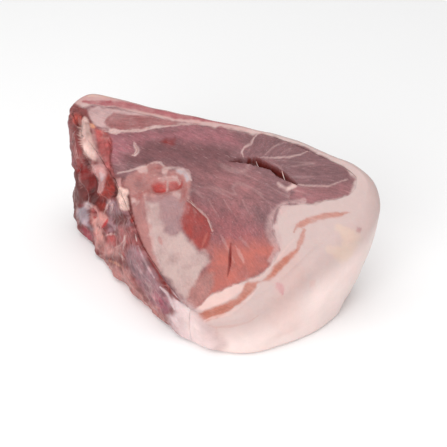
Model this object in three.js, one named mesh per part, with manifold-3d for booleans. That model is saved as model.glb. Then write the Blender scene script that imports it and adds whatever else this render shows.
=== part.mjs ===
// A raw boneless pork shoulder joint, in millimetres, +Z up, standing on its flat lower cut.
//
// The joint is a wedge cut across the shoulder. Its upper cut slants down towards the front (-Y)
// and a little to the left (-X), and shows the muscles. A cap of fat wraps the front right, the
// right end and the back. The left side is where the bone was taken out: a torn wall with a
// hanging flap of fat, a deep pocket, a knob of gristle and a slab under silver skin.
//
// Two solids: the lean meat, and the cap of fat that wraps it from the face down to the base.
import * as THREE from "three";
import { mergeVertices } from "three/addons/utils/BufferGeometryUtils.js";
import Module from "manifold-3d";

// ---- Driving sizes ----
const FACE_HEIGHT = 84.7; // of the upper cut above the base, over the middle of the plan
const FACE_RISE_RIGHT = 0.219; // millimetres up for each millimetre to the right
const FACE_RISE_BACK = 0.561; // millimetres up for each millimetre to the back

const CREST_ON_FAT = 12; // rounding of the upper edge where the fat is thick
const CREST_ON_LEAN = 3;
const CREST_SHARE = 0.4; // of the width of fat that shows on the face
const CREST_LIMIT = 0.7; // of that width, where it is narrow
const FOOT_ROUNDING = 5;
const SWELL_POWER = 0.8; // below 1, the wall swells most above the middle of its height
const FAT_UNDER = 9; // thickness of the cap lower down
const FAT_EDGE = 0.9; // thickness of the cap where it ends
const FAT_FADE = 26; // length over which the cap thins towards its ends
const FAT_TURN = 0.45; // depth, as a share, at which the fat has narrowed to its thickness lower down
const SPLIT = 0.3; // gap between the two solids

const STEP_TORN = 2.9; // spacing of the outline's samples on the torn side
const STEP_FRONT = 5.5;
const STEP_BACK = 7.5;
const FRONT_EDGE = -15; // the outline in front of this Y takes the front's spacing
const TURN_REACH = 3; // samples to either side that say which way the wall faces
const WALL_ROWS = 15;
const FACE_ROWS = 19;
const FACE_ROWS_CROWD = 0.85; // below 1, the face's rings crowd towards its edge
const FACE_RING_FILL = 1.15; // points of a ring for each that its length asks for
const FACE_RING_LEAST = 8;
const FAT_FACE_ROWS = 4;
const SLIT_STATIONS = 12;
const SMOOTHING_PASSES = 8; // for the ways in which the wall faces
const DRAWING_PASSES = 90; // for the ways in which the wall draws in towards the base
const MERGE = 1e-4; // points nearer than this are one

// The plan outline of the upper cut, counterclockwise from above, starting at the front corner.
// Each row is a point of the outer edge, the point of the lean's edge that faces it, how far the
// base stands outside the outer edge there (below 0 where the wall draws in), and how far the
// wall swells between the two.
const FAT_SIDE = [
  [[-24, -85], [-23.5, -84.3], -5, 2],
  [[-9, -92], [-12, -76], -2, 2],
  [[18, -91], [12, -70], 4, 2],
  [[42, -81], [28, -67], 5, 2],
  [[65, -68], [41, -55], 4, 2],
  [[87, -55], [40, -39], -3, 4],
  [[104, -43], [47, -24], -14, 6],
  [[114, -30], [69, -24], -18, 5],
  [[115, -18], [92, -22], -17, 4],
  [[109, -7], [99, -12], -12, 4],
  [[98, 2], [92, -3], -8, 5],
  [[79, 13], [76, 8], -5, 9],
  [[58, 26], [56, 21], -3, 12],
  [[34, 38], [32, 34], -3, 13],
  [[8, 49], [6, 43], -3, 13],
  [[-19, 60], [-20, 52], -3, 13],
  [[-45, 71], [-46, 61], -3, 13],
  [[-71, 83], [-71, 72], -3, 12],
  [[-95, 94], [-92, 80], -3, 9],
  [[-109, 97], [-105, 85], -3, 6],
  [[-120, 92], [-116, 82], -3, 2],
  [[-123, 82], [-121.5, 79], -2, 0],
];
// The torn side, from the back left corner to the front corner, where the lean has no fat over it:
// the outer edge and how far the base stands outside it.
const TORN_SIDE = [
  [[-114, 62], 3],
  [[-102, 44], 6],
  [[-91, 26], 8],
  [[-81, 8], 7],
  [[-73, -11], 4],
  [[-65, -30], 1],
  [[-54, -48], -3],
  [[-41, -67], -5],
];
const TORN_START = new THREE.Vector2(-123, 85);
const TORN_END = new THREE.Vector2(-13, -90);
const FACE_CENTRE = new THREE.Vector2(-24, 6);
// Lines inside the plan. The walls face away from the nearest point of them.
const SPINES = [
  [[-88, 62], [-20, 2]],
  [[-20, 2], [50, -17]],
  [[-20, 2], [-20, -52]],
];

// ---- Folds: ridges (rise above 0) and grooves (rise below 0) that follow a path ----
// On the face a path is in plan. On the torn wall it is the distance from the back left corner
// along the wall, and the height above the base.
const FACE_FOLDS = [
  {
    name: "arch of sinew",
    path: [[-62, -10], [-60, 5], [-53, 16], [-42, 19], [-31, 15], [-26, 4], [-27, -8]],
    half: 4.5,
    rise: 2.6,
  },
  { name: "bloody window", path: [[-52, 9], [-43, 8], [-34, 8]], half: 3.6, rise: -3 },
  { name: "seam over the front muscle", path: [[-27, -8], [-18, -17], [-8, -31]], half: 2.5, rise: 1.4 },
  {
    name: "crevice beside the plate",
    path: [[-78, 12], [-72, -7], [-65, -25], [-55, -43], [-45, -59], [-35, -71], [-28, -78]],
    half: 3.6,
    rise: -7,
  },
  {
    name: "sunk strip beside the flap",
    path: [[-97, 58], [-92, 42], [-87, 25], [-83, 12]],
    half: 4.5,
    rise: -3.5,
  },
  { name: "white plate", path: [[-48, -18], [-38, -40], [-34, -60]], half: 12, rise: 1.6 },
  { name: "front muscle", path: [[-26, -16], [-20, -32]], half: 8, rise: 1.5 },
  {
    name: "seam under the small muscle",
    path: [[-92, 60], [-72, 56], [-50, 54], [-30, 51]],
    half: 2.5,
    rise: -0.9,
  },
  { name: "small muscle", path: [[-86, 67], [-55, 60]], half: 6, rise: 1.6 },
  { name: "seam of the end muscle", path: [[22, 37], [22, 27], [14, 19]], half: 2.5, rise: -1 },
  { name: "end muscle", path: [[36, 22], [70, 6], [84, -6]], half: 12, rise: 2 },
  { name: "front of the lean", path: [[-8, -64], [16, -58]], half: 14, rise: 1.4 },
];
const TORN_FOLDS = [
  { name: "outer strip", path: [[6, 92], [5, 70], [7, 52]], half: 6, rise: 2.5 },
  { name: "cleft behind the strip", path: [[14, 98], [15, 82], [19, 66], [25, 54]], half: 3.6, rise: -9 },
  { name: "hanging flap", path: [[24, 98], [29, 84], [37, 68], [46, 56], [52, 46]], half: 7.5, rise: 7 },
  { name: "pocket", path: [[26, 54], [33, 42], [43, 32]], half: 7.5, rise: -13 },
  { name: "notch above the knob", path: [[-2, 40], [9, 37]], half: 4, rise: -5 },
  { name: "knob of gristle", path: [[6, 24], [14, 12], [26, 9]], half: 9, rise: 5 },
  { name: "lump beside the pocket", path: [[62, 52], [66, 36]], half: 7, rise: 3.5 },
  { name: "hollow of the blade", path: [[74, 34], [84, 26]], half: 7, rise: -4 },
  { name: "slab under silver skin", path: [[100, 24], [140, 16], [178, 8]], half: 17, rise: 4 },
  { name: "foot of the slab", path: [[58, 6], [96, 5]], half: 9, rise: 3 },
];
const FOLD_REACH = 2.5; // half widths out to which a fold is felt
const LUMPS_ON_FACE = 0.35; // height of the unevenness, in millimetres
const LUMPS_ON_FAT = 0.7;
const LUMPS_ON_TORN = 1.3;
const TORN_WIDTH = 4; // the torn side's unevenness is full this far in from its line,
const TORN_FADE = 16; // and gone this much further in
const GRIP = 1.5; // above 1, the relief is full before the foot's rounding ends

// The open cut in the middle of the face and the nick in front of it.
const SLITS = [
  { path: [[5, 19.5], [14, 18.5], [24, 16], [33, 10], [41, 3], [48, -2], [55, -6.5]], half: 3, depth: 12 },
  { path: [[7.2, -40], [7, -46], [6.4, -53], [5, -59], [3, -64]], half: 1.3, depth: 6 },
];
// A slit's section: across in half widths, and down in depths where it is below the face.
const SLIT_OVER = 6; // millimetres that the cutting body stands over the face
const SLIT_SECTION = [
  [-1.5, SLIT_OVER], [-1, 0], [-0.55, -0.7], [0, -1], [0.55, -0.7], [1, 0], [1.5, SLIT_OVER],
];
const SLIT_BELLY = 0.6; // below 1, a slit's middle stretch is blunter

// ---- The face and the outline ----
const faceHeight = (x, y) => FACE_HEIGHT + FACE_RISE_RIGHT * x + FACE_RISE_BACK * y;
const onFace = ([x, y]) => new THREE.Vector3(x, y, faceHeight(x, y));
const FACE_NORMAL = new THREE.Vector3(-FACE_RISE_RIGHT, -FACE_RISE_BACK, 1).normalize();
const TORN_ALONG = TORN_END.clone().sub(TORN_START).normalize();
const TORN_INWARD = new THREE.Vector2(-TORN_ALONG.y, TORN_ALONG.x);

function catmullRom(before, from, to, after, share) {
  const leave = (to - before) / 2;
  const arrive = (after - from) / 2;
  const bend = 3 * (to - from) - 2 * leave - arrive;
  const twist = 2 * (from - to) + leave + arrive;
  return from + share * (leave + share * (bend + share * twist));
}

const smooth = (value) => {
  const share = Math.min(Math.max(value, 0), 1);
  return share * share * (3 - 2 * share);
};

// Rows of the whole outline as [rim x, rim y, lean x, lean y, foot, swell].
function outlineRows() {
  const fat = FAT_SIDE.map(([rim, lean, foot, swell]) => [...rim, ...lean, foot, swell]);
  const bare = TORN_SIDE.map(([[x, y], foot]) => {
    const lean = new THREE.Vector2(x, y).addScaledVector(TORN_INWARD, CREST_ON_LEAN);
    return [x, y, lean.x, lean.y, foot, 0];
  });
  return [...fat, ...bare];
}

function awayFromSpines(rim) {
  const point = new THREE.Vector3(rim.x, rim.y, 0);
  const nearest = SPINES.map(([from, to]) => {
    const line = new THREE.Line3(new THREE.Vector3(...from, 0), new THREE.Vector3(...to, 0));
    return line.closestPointToPoint(point, true, new THREE.Vector3());
  }).sort((a, b) => a.distanceTo(point) - b.distanceTo(point))[0];
  return rim.clone().sub(nearest).normalize();
}

// Each row of values averaged with its neighbours round the outline, again and again.
function evened(rows, passes) {
  let now = rows;
  for (let pass = 0; pass < passes; pass++) {
    const last = now;
    now = last.map((row, i) => {
      const before = last.at(i - 1);
      const after = last[(i + 1) % last.length];
      return row.map((value, column) => (before[column] + value + after[column]) / 3);
    });
  }
  return now;
}

// Samples of the outline: where the rim and the lean's edge are, which way is out, and how thick
// the fat is lower down. Samples with fat come first, from the first to the last row of FAT_SIDE.
function outlineSamples() {
  const rows = outlineRows();
  const count = rows.length;
  const samples = [];
  for (let i = 0; i < count; i++) {
    const next = rows[(i + 1) % count];
    const length = Math.hypot(next[0] - rows[i][0], next[1] - rows[i][1]);
    const torn = i >= FAT_SIDE.length - 1;
    const fatStep = (rows[i][1] + next[1]) / 2 > FRONT_EDGE ? STEP_BACK : STEP_FRONT;
    const step = torn ? STEP_TORN : fatStep;
    const parts = Math.ceil(length / step);
    for (let k = 0; k < parts; k++) {
      const [x, y, leanX, leanY, foot, swell] = rows[i].map((value, column) =>
        catmullRom(
          rows[(i + count - 1) % count][column],
          value,
          next[column],
          rows[(i + 2) % count][column],
          k / parts,
        ),
      );
      const rim = new THREE.Vector2(x, y);
      const lean = new THREE.Vector2(leanX, leanY);
      const width = rim.distanceTo(lean);
      const fat = !torn || (i === FAT_SIDE.length - 1 && k === 0);
      samples.push({ rim, lean, width, foot, swell, fat });
    }
  }
  const ways = samples.map(({ rim, width, fat }, i) => {
    const ends = [-TURN_REACH, TURN_REACH];
    const [before, after] = ends.map((step) => samples.at((i + step) % samples.length).rim);
    const square = new THREE.Vector2(after.y - before.y, before.x - after.x).normalize();
    const out = square.add(awayFromSpines(rim)).normalize();
    const least = Math.min(CREST_ON_LEAN, CREST_LIMIT * width);
    const crestOnFat = Math.min(Math.max(CREST_SHARE * width, least), CREST_ON_FAT);
    return [out.x, out.y, fat ? crestOnFat : CREST_ON_LEAN];
  });
  evened(ways, SMOOTHING_PASSES).forEach(([x, y, crest], i) => {
    samples[i].out = new THREE.Vector2(x, y).normalize();
    samples[i].crest = crest;
  });
  evened(ways, DRAWING_PASSES).forEach(([x, y], i) => {
    samples[i].draw = new THREE.Vector2(x, y).normalize();
  });
  const covered = samples.filter((s) => s.fat);
  let along = 0;
  covered.forEach((s, i) => {
    if (i) along += s.rim.distanceTo(covered[i - 1].rim);
    s.along = along;
  });
  for (const s of covered) {
    const fromEnd = Math.min(s.along, along - s.along);
    s.under = FAT_EDGE + (FAT_UNDER - FAT_EDGE) * smooth(fromEnd / FAT_FADE);
  }
  return samples;
}

// A point of the outer wall. depth runs from 0 at the face to 1 at the base.
function outerWall(sample, depth) {
  const { rim, out, crest, foot, swell, draw } = sample;
  const top = faceHeight(rim.x - out.x * crest, rim.y - out.y * crest);
  const z = top * (1 - depth);
  const belowTop = Math.min((top - z) / crest, 1);
  const aboveFoot = Math.min(z / FOOT_ROUNDING, 1);
  const rounding = (share) => 1 - Math.sqrt(1 - (1 - share) ** 2);
  const offset =
    swell * Math.sin(Math.PI * depth ** SWELL_POWER) -
    crest * rounding(belowTop) -
    FOOT_ROUNDING * rounding(aboveFoot);
  const plan = rim.clone().addScaledVector(out, offset).addScaledVector(draw, foot * depth);
  const point = new THREE.Vector3(plan.x, plan.y, z);
  const push = FACE_NORMAL.clone()
    .multiplyScalar(1 - belowTop)
    .add(new THREE.Vector3(out.x, out.y, 0).multiplyScalar(belowTop))
    .normalize();
  return { point, push, grip: Math.min(aboveFoot * GRIP, 1) };
}

// A point of the surface between the lean and the fat.
function innerWall(sample, depth) {
  const outer = outerWall(sample, depth).point;
  const under = new THREE.Vector2(outer.x, outer.y).addScaledVector(sample.draw, -sample.under);
  const plan = sample.lean.clone().lerp(under, smooth(depth / FAT_TURN));
  const top = raised(facePoint(sample.lean), LUMPS_ON_FACE).z;
  return new THREE.Vector3(plan.x, plan.y, top * (1 - depth));
}

// ---- Relief ----
// A point of the torn wall, by its distance along the wall and its height above the base.
function tornPoint([along, height]) {
  const bare = SAMPLES.filter((s) => !s.fat);
  const misses = bare.map((s) => Math.abs(s.rim.clone().sub(TORN_START).dot(TORN_ALONG) - along));
  const nearest = bare[misses.indexOf(Math.min(...misses))];
  const top = faceHeight(nearest.rim.x, nearest.rim.y);
  return outerWall(nearest, Math.max(1 - height / top, 0)).point;
}

const SAMPLES = outlineSamples();
const FOLDS = [
  ...FACE_FOLDS.map((fold) => ({ ...fold, path: fold.path.map(onFace) })),
  ...TORN_FOLDS.map((fold) => ({ ...fold, path: fold.path.map(tornPoint) })),
];

function distanceToPath(point, path) {
  const line = new THREE.Line3();
  const nearest = new THREE.Vector3();
  let least = Infinity;
  for (let i = 1; i < path.length; i++) {
    line.set(path[i - 1], path[i]).closestPointToPoint(point, true, nearest);
    least = Math.min(least, nearest.distanceTo(point));
  }
  return least;
}

// A wave along one direction whose crests are bent by a second wave across it. The lengths are
// millimetres for each radian.
const bentWave = (along, length, bend, across, bendLength) =>
  Math.sin(along / length + bend * Math.sin(across / bendLength));

// Slow waves in three directions, from -1 to 1, so that no surface is dead flat.
function lumps({ x, y, z }) {
  const inPlan = bentWave(x, 6.1, 1.3, z, 9.7) * bentWave(y, 7.3, 0.9, x, 11.3);
  const upright = bentWave(z, 5.2, 1.1, y, 8.9) * Math.sin(x / 13.1 - y / 10.7);
  return 0.6 * inPlan + 0.4 * upright;
}

function tornShare(point) {
  const x = point.x - TORN_START.x;
  const y = point.y - TORN_START.y;
  const inward = x * TORN_INWARD.x + y * TORN_INWARD.y;
  return 1 - smooth((inward - TORN_WIDTH) / TORN_FADE);
}

function relief(point, plainLumps) {
  const torn = tornShare(point);
  let rise = lumps(point) * (plainLumps + (LUMPS_ON_TORN - plainLumps) * torn);
  for (const fold of FOLDS) {
    const distance = distanceToPath(point, fold.path) / fold.half;
    if (distance < FOLD_REACH) rise += fold.rise * Math.exp(-(distance ** 2));
  }
  return rise;
}

// The point moved out by the relief there, and never below the base.
function raised({ point, push, grip = 1 }, plainLumps) {
  const moved = point.clone().addScaledVector(push, relief(point, plainLumps) * grip);
  moved.z = Math.max(moved.z, 0);
  return moved;
}

const facePoint = ({ x, y }) => ({ point: onFace([x, y]), push: FACE_NORMAL });

// ---- Meshes from rings of points ----
class Shell {
  constructor() {
    this.points = [];
    this.triangles = [];
  }
  ring(points) {
    return points.map((p) => this.points.push(p) - 1);
  }
  // Closed rings of any two sizes, joined by triangles; b lies to the left when a runs forwards.
  join(a, b) {
    let i = 0;
    let j = 0;
    while (i < a.length || j < b.length) {
      const stepA = j === b.length || (i < a.length && (i + 1) / a.length <= (j + 1) / b.length);
      const from = a[i % a.length];
      const across = b[j % b.length];
      if (stepA) this.triangles.push(from, a[++i % a.length], across);
      else this.triangles.push(from, b[++j % b.length], across);
    }
  }
  // Open rows of the same length, split along the same diagonal; flip turns the faces round.
  band(a, b, flip) {
    for (let i = 0; i + 1 < a.length; i++) this.quad(a[i], a[i + 1], b[i + 1], b[i], flip);
  }
  quad(p, q, r, s, flip) {
    if (flip) this.triangles.push(p, r, q, p, s, r);
    else this.triangles.push(p, q, r, p, r, s);
  }
  // Fills a closed ring that lies flat, seen from above (flip for below).
  fill(ring, flip) {
    const contour = ring.map((i) => new THREE.Vector2(this.points[i].x, this.points[i].y));
    for (const [a, b, c] of THREE.ShapeUtils.triangulateShape(contour, [])) {
      if (flip) this.triangles.push(ring[a], ring[c], ring[b]);
      else this.triangles.push(ring[a], ring[b], ring[c]);
    }
  }
  geometry() {
    const made = new THREE.BufferGeometry();
    const places = this.points.flatMap((p) => p.toArray());
    made.setAttribute("position", new THREE.Float32BufferAttribute(places, 3));
    made.setIndex(this.triangles);
    return made;
  }
}

// Depths of the wall's rows, closer together at the crest and the foot.
const DEPTHS = Array.from({ length: WALL_ROWS + 1 }, (_, k) => {
  return 0.5 - 0.5 * Math.cos((Math.PI * k) / WALL_ROWS);
});

// The lean's outline at a depth, kept clear of the fat by the gap between the solids.
function leanRing(depth) {
  const ring = SAMPLES.map((s) => {
    if (s.fat) return innerWall(s, depth);
    return depth ? raised(outerWall(s, depth), LUMPS_ON_TORN) : raised(facePoint(s.lean), LUMPS_ON_FACE);
  });
  return ring.map((point, i) => {
    const before = ring.at(i - 1);
    const after = ring[(i + 1) % ring.length];
    const square = new THREE.Vector3(after.y - before.y, before.x - after.x, 0).normalize();
    return SAMPLES[i].fat ? point.clone().addScaledVector(square, -SPLIT) : point;
  });
}

function leanGeometry() {
  const shell = new Shell();
  const rings = DEPTHS.map(leanRing);
  const rows = rings.map((ring) => shell.ring(ring));
  for (let k = 1; k < rows.length; k++) {
    const [low, high] = [rows[k], rows[k - 1]];
    low.forEach((point, i) => {
      const next = (i + 1) % low.length;
      shell.quad(point, low[next], high[next], high[i], false);
    });
  }
  let outer = rows[0];
  for (let k = 1; k < FACE_ROWS; k++) {
    const share = 1 - (k / FACE_ROWS) ** FACE_ROWS_CROWD;
    const wanted = Math.round(SAMPLES.length * Math.min(1, share * FACE_RING_FILL));
    const count = Math.max(FACE_RING_LEAST, wanted);
    const ring = Array.from({ length: count }, (_, i) => {
      const place = (i / count) * SAMPLES.length;
      const low = Math.floor(place);
      const edge = rings[0][low].clone().lerp(rings[0][(low + 1) % SAMPLES.length], place - low);
      return raised(facePoint(FACE_CENTRE.clone().lerp(edge, share)), LUMPS_ON_FACE);
    });
    const inner = shell.ring(ring);
    shell.join(outer, inner);
    outer = inner;
  }
  const [middle] = shell.ring([raised(facePoint(FACE_CENTRE), LUMPS_ON_FACE)]);
  outer.forEach((point, i) => shell.triangles.push(point, outer[(i + 1) % outer.length], middle));
  shell.fill(rows.at(-1), true);
  return shell.geometry();
}

function fatGeometry() {
  const covered = SAMPLES.filter((s) => s.fat);
  const shell = new Shell();
  const outerRing = (depth) => covered.map((s) => raised(outerWall(s, depth), LUMPS_ON_FAT));
  const outer = DEPTHS.map((depth) => shell.ring(outerRing(depth)));
  const inner = DEPTHS.map((depth) => shell.ring(covered.map((s) => innerWall(s, depth))));
  const top = [outer[0]];
  for (let k = 1; k < FAT_FACE_ROWS; k++) {
    const share = k / FAT_FACE_ROWS;
    const row = covered.map((s) => {
      const { x, y } = outerWall(s, 0).point;
      const lumpy = LUMPS_ON_FAT + (LUMPS_ON_FACE - LUMPS_ON_FAT) * share;
      return raised(facePoint(new THREE.Vector2(x, y).lerp(s.lean, share)), lumpy);
    });
    top.push(shell.ring(row));
  }
  top.push(inner[0]);
  for (let k = 1; k < outer.length; k++) {
    shell.band(outer[k], outer[k - 1], false);
    shell.band(inner[k], inner[k - 1], true);
  }
  for (let k = 1; k < top.length; k++) shell.band(top[k - 1], top[k], false);
  shell.band(outer.at(-1), inner.at(-1), true);
  for (const [end, flip] of [[0, false], [covered.length - 1, true]]) {
    for (let k = 1; k < outer.length; k++) {
      shell.quad(inner[k][end], outer[k][end], outer[k - 1][end], inner[k - 1][end], flip);
    }
    const edge = top.map((row) => row[end]);
    for (let k = 1; k + 1 < edge.length; k++) {
      if (flip) shell.triangles.push(edge[0], edge[k + 1], edge[k]);
      else shell.triangles.push(edge[0], edge[k], edge[k + 1]);
    }
  }
  return shell.geometry();
}

// A leaf-shaped knife cut: deepest and widest in the middle of its path, open at the face.
function slitGeometry({ path, half, depth }) {
  const curve = new THREE.SplineCurve(path.map(([x, y]) => new THREE.Vector2(x, y)));
  const shell = new Shell();
  const sections = [];
  for (let k = 1; k < SLIT_STATIONS; k++) {
    const share = k / SLIT_STATIONS;
    const at = curve.getPoint(share);
    const along = curve.getTangent(share);
    const side = new THREE.Vector2(-along.y, along.x);
    const belly = Math.sin(Math.PI * share) ** SLIT_BELLY;
    const width = half * belly;
    sections.push(
      shell.ring(
        SLIT_SECTION.map(([across, down]) => {
          const plan = at.clone().addScaledVector(side, across * width);
          const z = faceHeight(at.x, at.y) + (down > 0 ? down : down * depth * belly);
          return new THREE.Vector3(plan.x, plan.y, z);
        }),
      ),
    );
  }
  for (let k = 1; k < sections.length; k++) shell.join(sections[k - 1], sections[k]);
  for (const [section, share, turn] of [[sections[0], 0, true], [sections.at(-1), 1, false]]) {
    const at = curve.getPoint(share);
    const [tip] = shell.ring([new THREE.Vector3(at.x, at.y, faceHeight(at.x, at.y) + SLIT_OVER / 2)]);
    section.forEach((point, i) => {
      const next = section[(i + 1) % section.length];
      if (turn) shell.triangles.push(next, point, tip);
      else shell.triangles.push(point, next, tip);
    });
  }
  return shell.geometry();
}

// ---- Cuts, with manifold-3d ----
const wasm = await Module();
wasm.setup();

function solidFrom(geometry) {
  const merged = mergeVertices(geometry, MERGE);
  const mesh = new wasm.Mesh({
    numProp: 3,
    vertProperties: merged.attributes.position.array,
    triVerts: new Uint32Array(merged.index.array),
  });
  const solid = new wasm.Manifold(mesh);
  if (solid.volume() > 0) return solid;
  throw new Error("a solid is inside out");
}

function geometryFrom(solid) {
  const mesh = solid.getMesh();
  const made = new THREE.BufferGeometry();
  made.setAttribute("position", new THREE.BufferAttribute(mesh.vertProperties, 3));
  made.setIndex(new THREE.BufferAttribute(mesh.triVerts, 1));
  made.computeVertexNormals();
  return made;
}

// ---- The joint ----
let lean = solidFrom(leanGeometry());
for (const slit of SLITS) lean = lean.subtract(solidFrom(slitGeometry(slit)));
const fatCap = solidFrom(fatGeometry());

const leanMaterial = new THREE.MeshStandardMaterial({ color: 0xa8767a, roughness: 0.45, metalness: 0 });
const fatMaterial = new THREE.MeshStandardMaterial({ color: 0xe9cfc8, roughness: 0.5, metalness: 0 });

const leanMesh = new THREE.Mesh(geometryFrom(lean), leanMaterial);
leanMesh.name = "lean";
const fatMesh = new THREE.Mesh(geometryFrom(fatCap), fatMaterial);
fatMesh.name = "fat_cap";

const joint = new THREE.Group();
joint.add(leanMesh, fatMesh);
// The origin is under the middle of the whole joint.
const middle = new THREE.Box3().setFromObject(joint).getCenter(new THREE.Vector3());
joint.position.set(-middle.x, -middle.y, 0);

export default joint;
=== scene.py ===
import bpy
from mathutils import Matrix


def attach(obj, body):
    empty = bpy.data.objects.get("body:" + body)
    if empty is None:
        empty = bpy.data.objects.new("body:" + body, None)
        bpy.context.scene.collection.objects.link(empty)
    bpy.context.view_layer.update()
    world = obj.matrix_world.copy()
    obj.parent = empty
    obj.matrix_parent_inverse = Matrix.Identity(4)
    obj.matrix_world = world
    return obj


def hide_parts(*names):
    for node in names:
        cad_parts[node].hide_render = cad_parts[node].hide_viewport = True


bl_info = {
    "name": "Raw pork shoulder joint",
    "version": (1, 0, 0),
    "blender": (4, 5, 0),
    "location": "3D View > Sidebar > Meat",
    "description": "Dresses the packed solids of a raw pork shoulder joint with its lean and its cap of fat",
    "category": "Object",
}

import math

import bpy
import numpy as np
from bpy.props import FloatProperty, FloatVectorProperty, IntProperty, PointerProperty
from mathutils import Vector
from mathutils.geometry import delaunay_2d_cdt

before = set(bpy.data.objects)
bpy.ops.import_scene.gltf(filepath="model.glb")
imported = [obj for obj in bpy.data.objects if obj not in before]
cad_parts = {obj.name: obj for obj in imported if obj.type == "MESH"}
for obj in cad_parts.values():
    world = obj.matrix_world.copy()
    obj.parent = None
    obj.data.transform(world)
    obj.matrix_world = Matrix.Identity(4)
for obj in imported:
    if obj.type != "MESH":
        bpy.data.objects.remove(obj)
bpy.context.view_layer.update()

MM = 0.001  # in metres, Blender's unit

# All places below are millimetres in the drawing: +X right, +Y back, +Z up from the base. The
# solids stand with the middle of their box on the origin, which is this far from the drawing's.
MIDDLE = np.array([-4.87, 3.80, 0.0])

# ---- The outline and the folds, as in the solids ----
# Round the fat: the outer edge, the lean's edge that faces it, how far the base stands outside, and
# the swell. Along the torn wall: the outer edge, and how far the base stands outside.
FAT_SIDE = [
    (-24, -85, -23.5, -84.3, -5, 2), (-9, -92, -12, -76, -2, 2), (18, -91, 12, -70, 4, 2),
    (42, -81, 28, -67, 5, 2), (65, -68, 41, -52, 4, 2), (87, -55, 36, -35, -3, 4),
    (104, -43, 43, -20, -14, 6), (114, -30, 68, -23, -18, 5), (115, -18, 92, -22, -17, 4),
    (109, -7, 99, -12, -12, 4), (98, 2, 92, -3, -8, 5), (79, 13, 76, 8, -5, 9),
    (58, 26, 56, 21, -3, 12), (34, 38, 32, 34, -3, 13), (8, 49, 6, 43, -3, 13),
    (-19, 60, -20, 52, -3, 13), (-45, 71, -46, 61, -3, 13), (-71, 83, -71, 72, -3, 12),
    (-95, 94, -92, 80, -3, 9), (-109, 97, -105, 85, -3, 6), (-120, 92, -116, 82, -3, 2),
    (-123, 82, -121.5, 79, -2, 0),
]
TORN_SIDE = [
    (-114, 62, 3), (-102, 44, 6), (-91, 26, 8), (-81, 8, 7),
    (-73, -11, 4), (-65, -30, 1), (-54, -48, -3), (-41, -67, -5),
]
TORN_START = np.array([-123.0, 85.0])
TORN_END = np.array([-13.0, -90.0])
# Lines in plan from which the walls face away.
SPINES = [((-88, 62), (-20, 2)), ((-20, 2), (50, -17)), ((-20, 2), (-20, -52))]

# Folds: path, half width, rise. On the face a path is in plan; on the torn wall it is the distance
# from the back left corner along the wall, and the height.
FACE_FOLDS = {
    "arch of sinew": ([(-62, -10), (-60, 5), (-53, 16), (-42, 19), (-31, 15), (-26, 4), (-27, -8)], 4.5, 2.6),
    "bloody window": ([(-52, 9), (-43, 8), (-34, 8)], 3.6, -3),
    "seam over the front muscle": ([(-27, -8), (-18, -17), (-8, -31)], 2.5, 1.4),
    "crevice beside the plate": (
        [(-78, 12), (-72, -7), (-65, -25), (-55, -43), (-45, -59), (-35, -71), (-28, -78)], 2.4, -1.4),
    "sunk strip beside the flap": ([(-97, 58), (-92, 42), (-87, 25), (-83, 12)], 4.5, -1.0),
    "white plate": ([(-48, -18), (-38, -40), (-34, -60)], 12, 1.6),
    "front muscle": ([(-26, -16), (-20, -32)], 8, 1.5),
    "seam under the small muscle": ([(-92, 60), (-72, 56), (-50, 54), (-30, 51)], 2.5, -0.9),
    "small muscle": ([(-86, 67), (-55, 60)], 6, 1.6),
    "seam of the end muscle": ([(22, 37), (22, 27), (14, 19)], 2.5, -1),
    "end muscle": ([(36, 22), (70, 6), (84, -6)], 12, 2),
    "front of the lean": ([(-8, -64), (16, -58)], 14, 1.4),
}
TORN_FOLDS = {
    "outer strip": ([(6, 92), (5, 70), (7, 52)], 6, 2.5),
    "cleft behind the strip": ([(14, 98), (15, 82), (19, 66), (25, 54)], 3.6, -9),
    "hanging flap": ([(24, 98), (29, 84), (37, 68), (46, 56), (52, 46)], 7.5, 7),
    "pocket": ([(26, 54), (33, 42), (43, 32)], 7.5, -13),
    "notch above the knob": ([(-2, 40), (9, 37)], 4, -5),
    "knob of gristle": ([(6, 24), (14, 12), (26, 9)], 9, 5),
    "lump beside the pocket": ([(62, 52), (66, 36)], 7, 3.5),
    "hollow of the blade": ([(74, 34), (84, 26)], 7, -4),
    "slab under silver skin": ([(100, 24), (140, 16), (178, 8)], 17, 4),
    "foot of the slab": ([(58, 6), (96, 5)], 9, 3),
}
# The open cut in the middle of the face and the nick in front of it: path, half widths, depth.
SLITS = [
    ([(5, 19.5), (11, 19.3), (17, 18), (24, 15.5), (29, 12.5), (36, 8.5), (43, 2.5), (49, -2), (55, -7)],
     [0.4, 1.8, 2.5, 2.7, 2.3, 1.6, 2.3, 1.8, 0.4], 5.5),
    ([(5.5, -41), (5, -46), (5, -52), (4.6, -58), (3, -65)], [0.3, 0.8, 1.1, 0.8, 0.2], 1.3),
]
# The camera looks down from the front, through a long lens: how many degrees, from how far, and at
# which place.
VIEW_DOWN, VIEW_REACH, VIEW_AIM = 35, 958, np.array([0, 0, 52])

# ---- How the surfaces are sampled ----
# These have the names and the values that they have in the solids.
STEP_TORN, STEP_FRONT, STEP_BACK = 2.9, 5.5, 7.5  # spacing of the coarse samples round the outline
FRONT_EDGE = -15  # the fat in front of this Y takes the front's spacing
TURN_REACH = 3  # samples to either side that say which way the wall faces
SMOOTHING_PASSES = 8  # for the ways in which the wall faces
DRAWING_PASSES = 90  # for the ways in which the wall draws in towards the base
CREST_SHARE = 0.4  # rounding of the crest, as a share of the width of fat that shows on the face
CREST_LIMIT = 0.7  # largest share of that width, where it is narrow
SWELL_POWER = 0.8  # below 1, the wall swells most above the middle of its height
FAT_TURN = 0.45  # depth, as a share, at which the fat has narrowed to its thickness lower down
LUMPS_ON_FACE, LUMPS_ON_FAT, LUMPS_ON_TORN = 0.35, 0.7, 1.3  # height of the broad unevenness
TORN_WIDTH = 4  # the torn side's unevenness is full this far in from its line,
TORN_FADE = 16  # and gone this much further in
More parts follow.
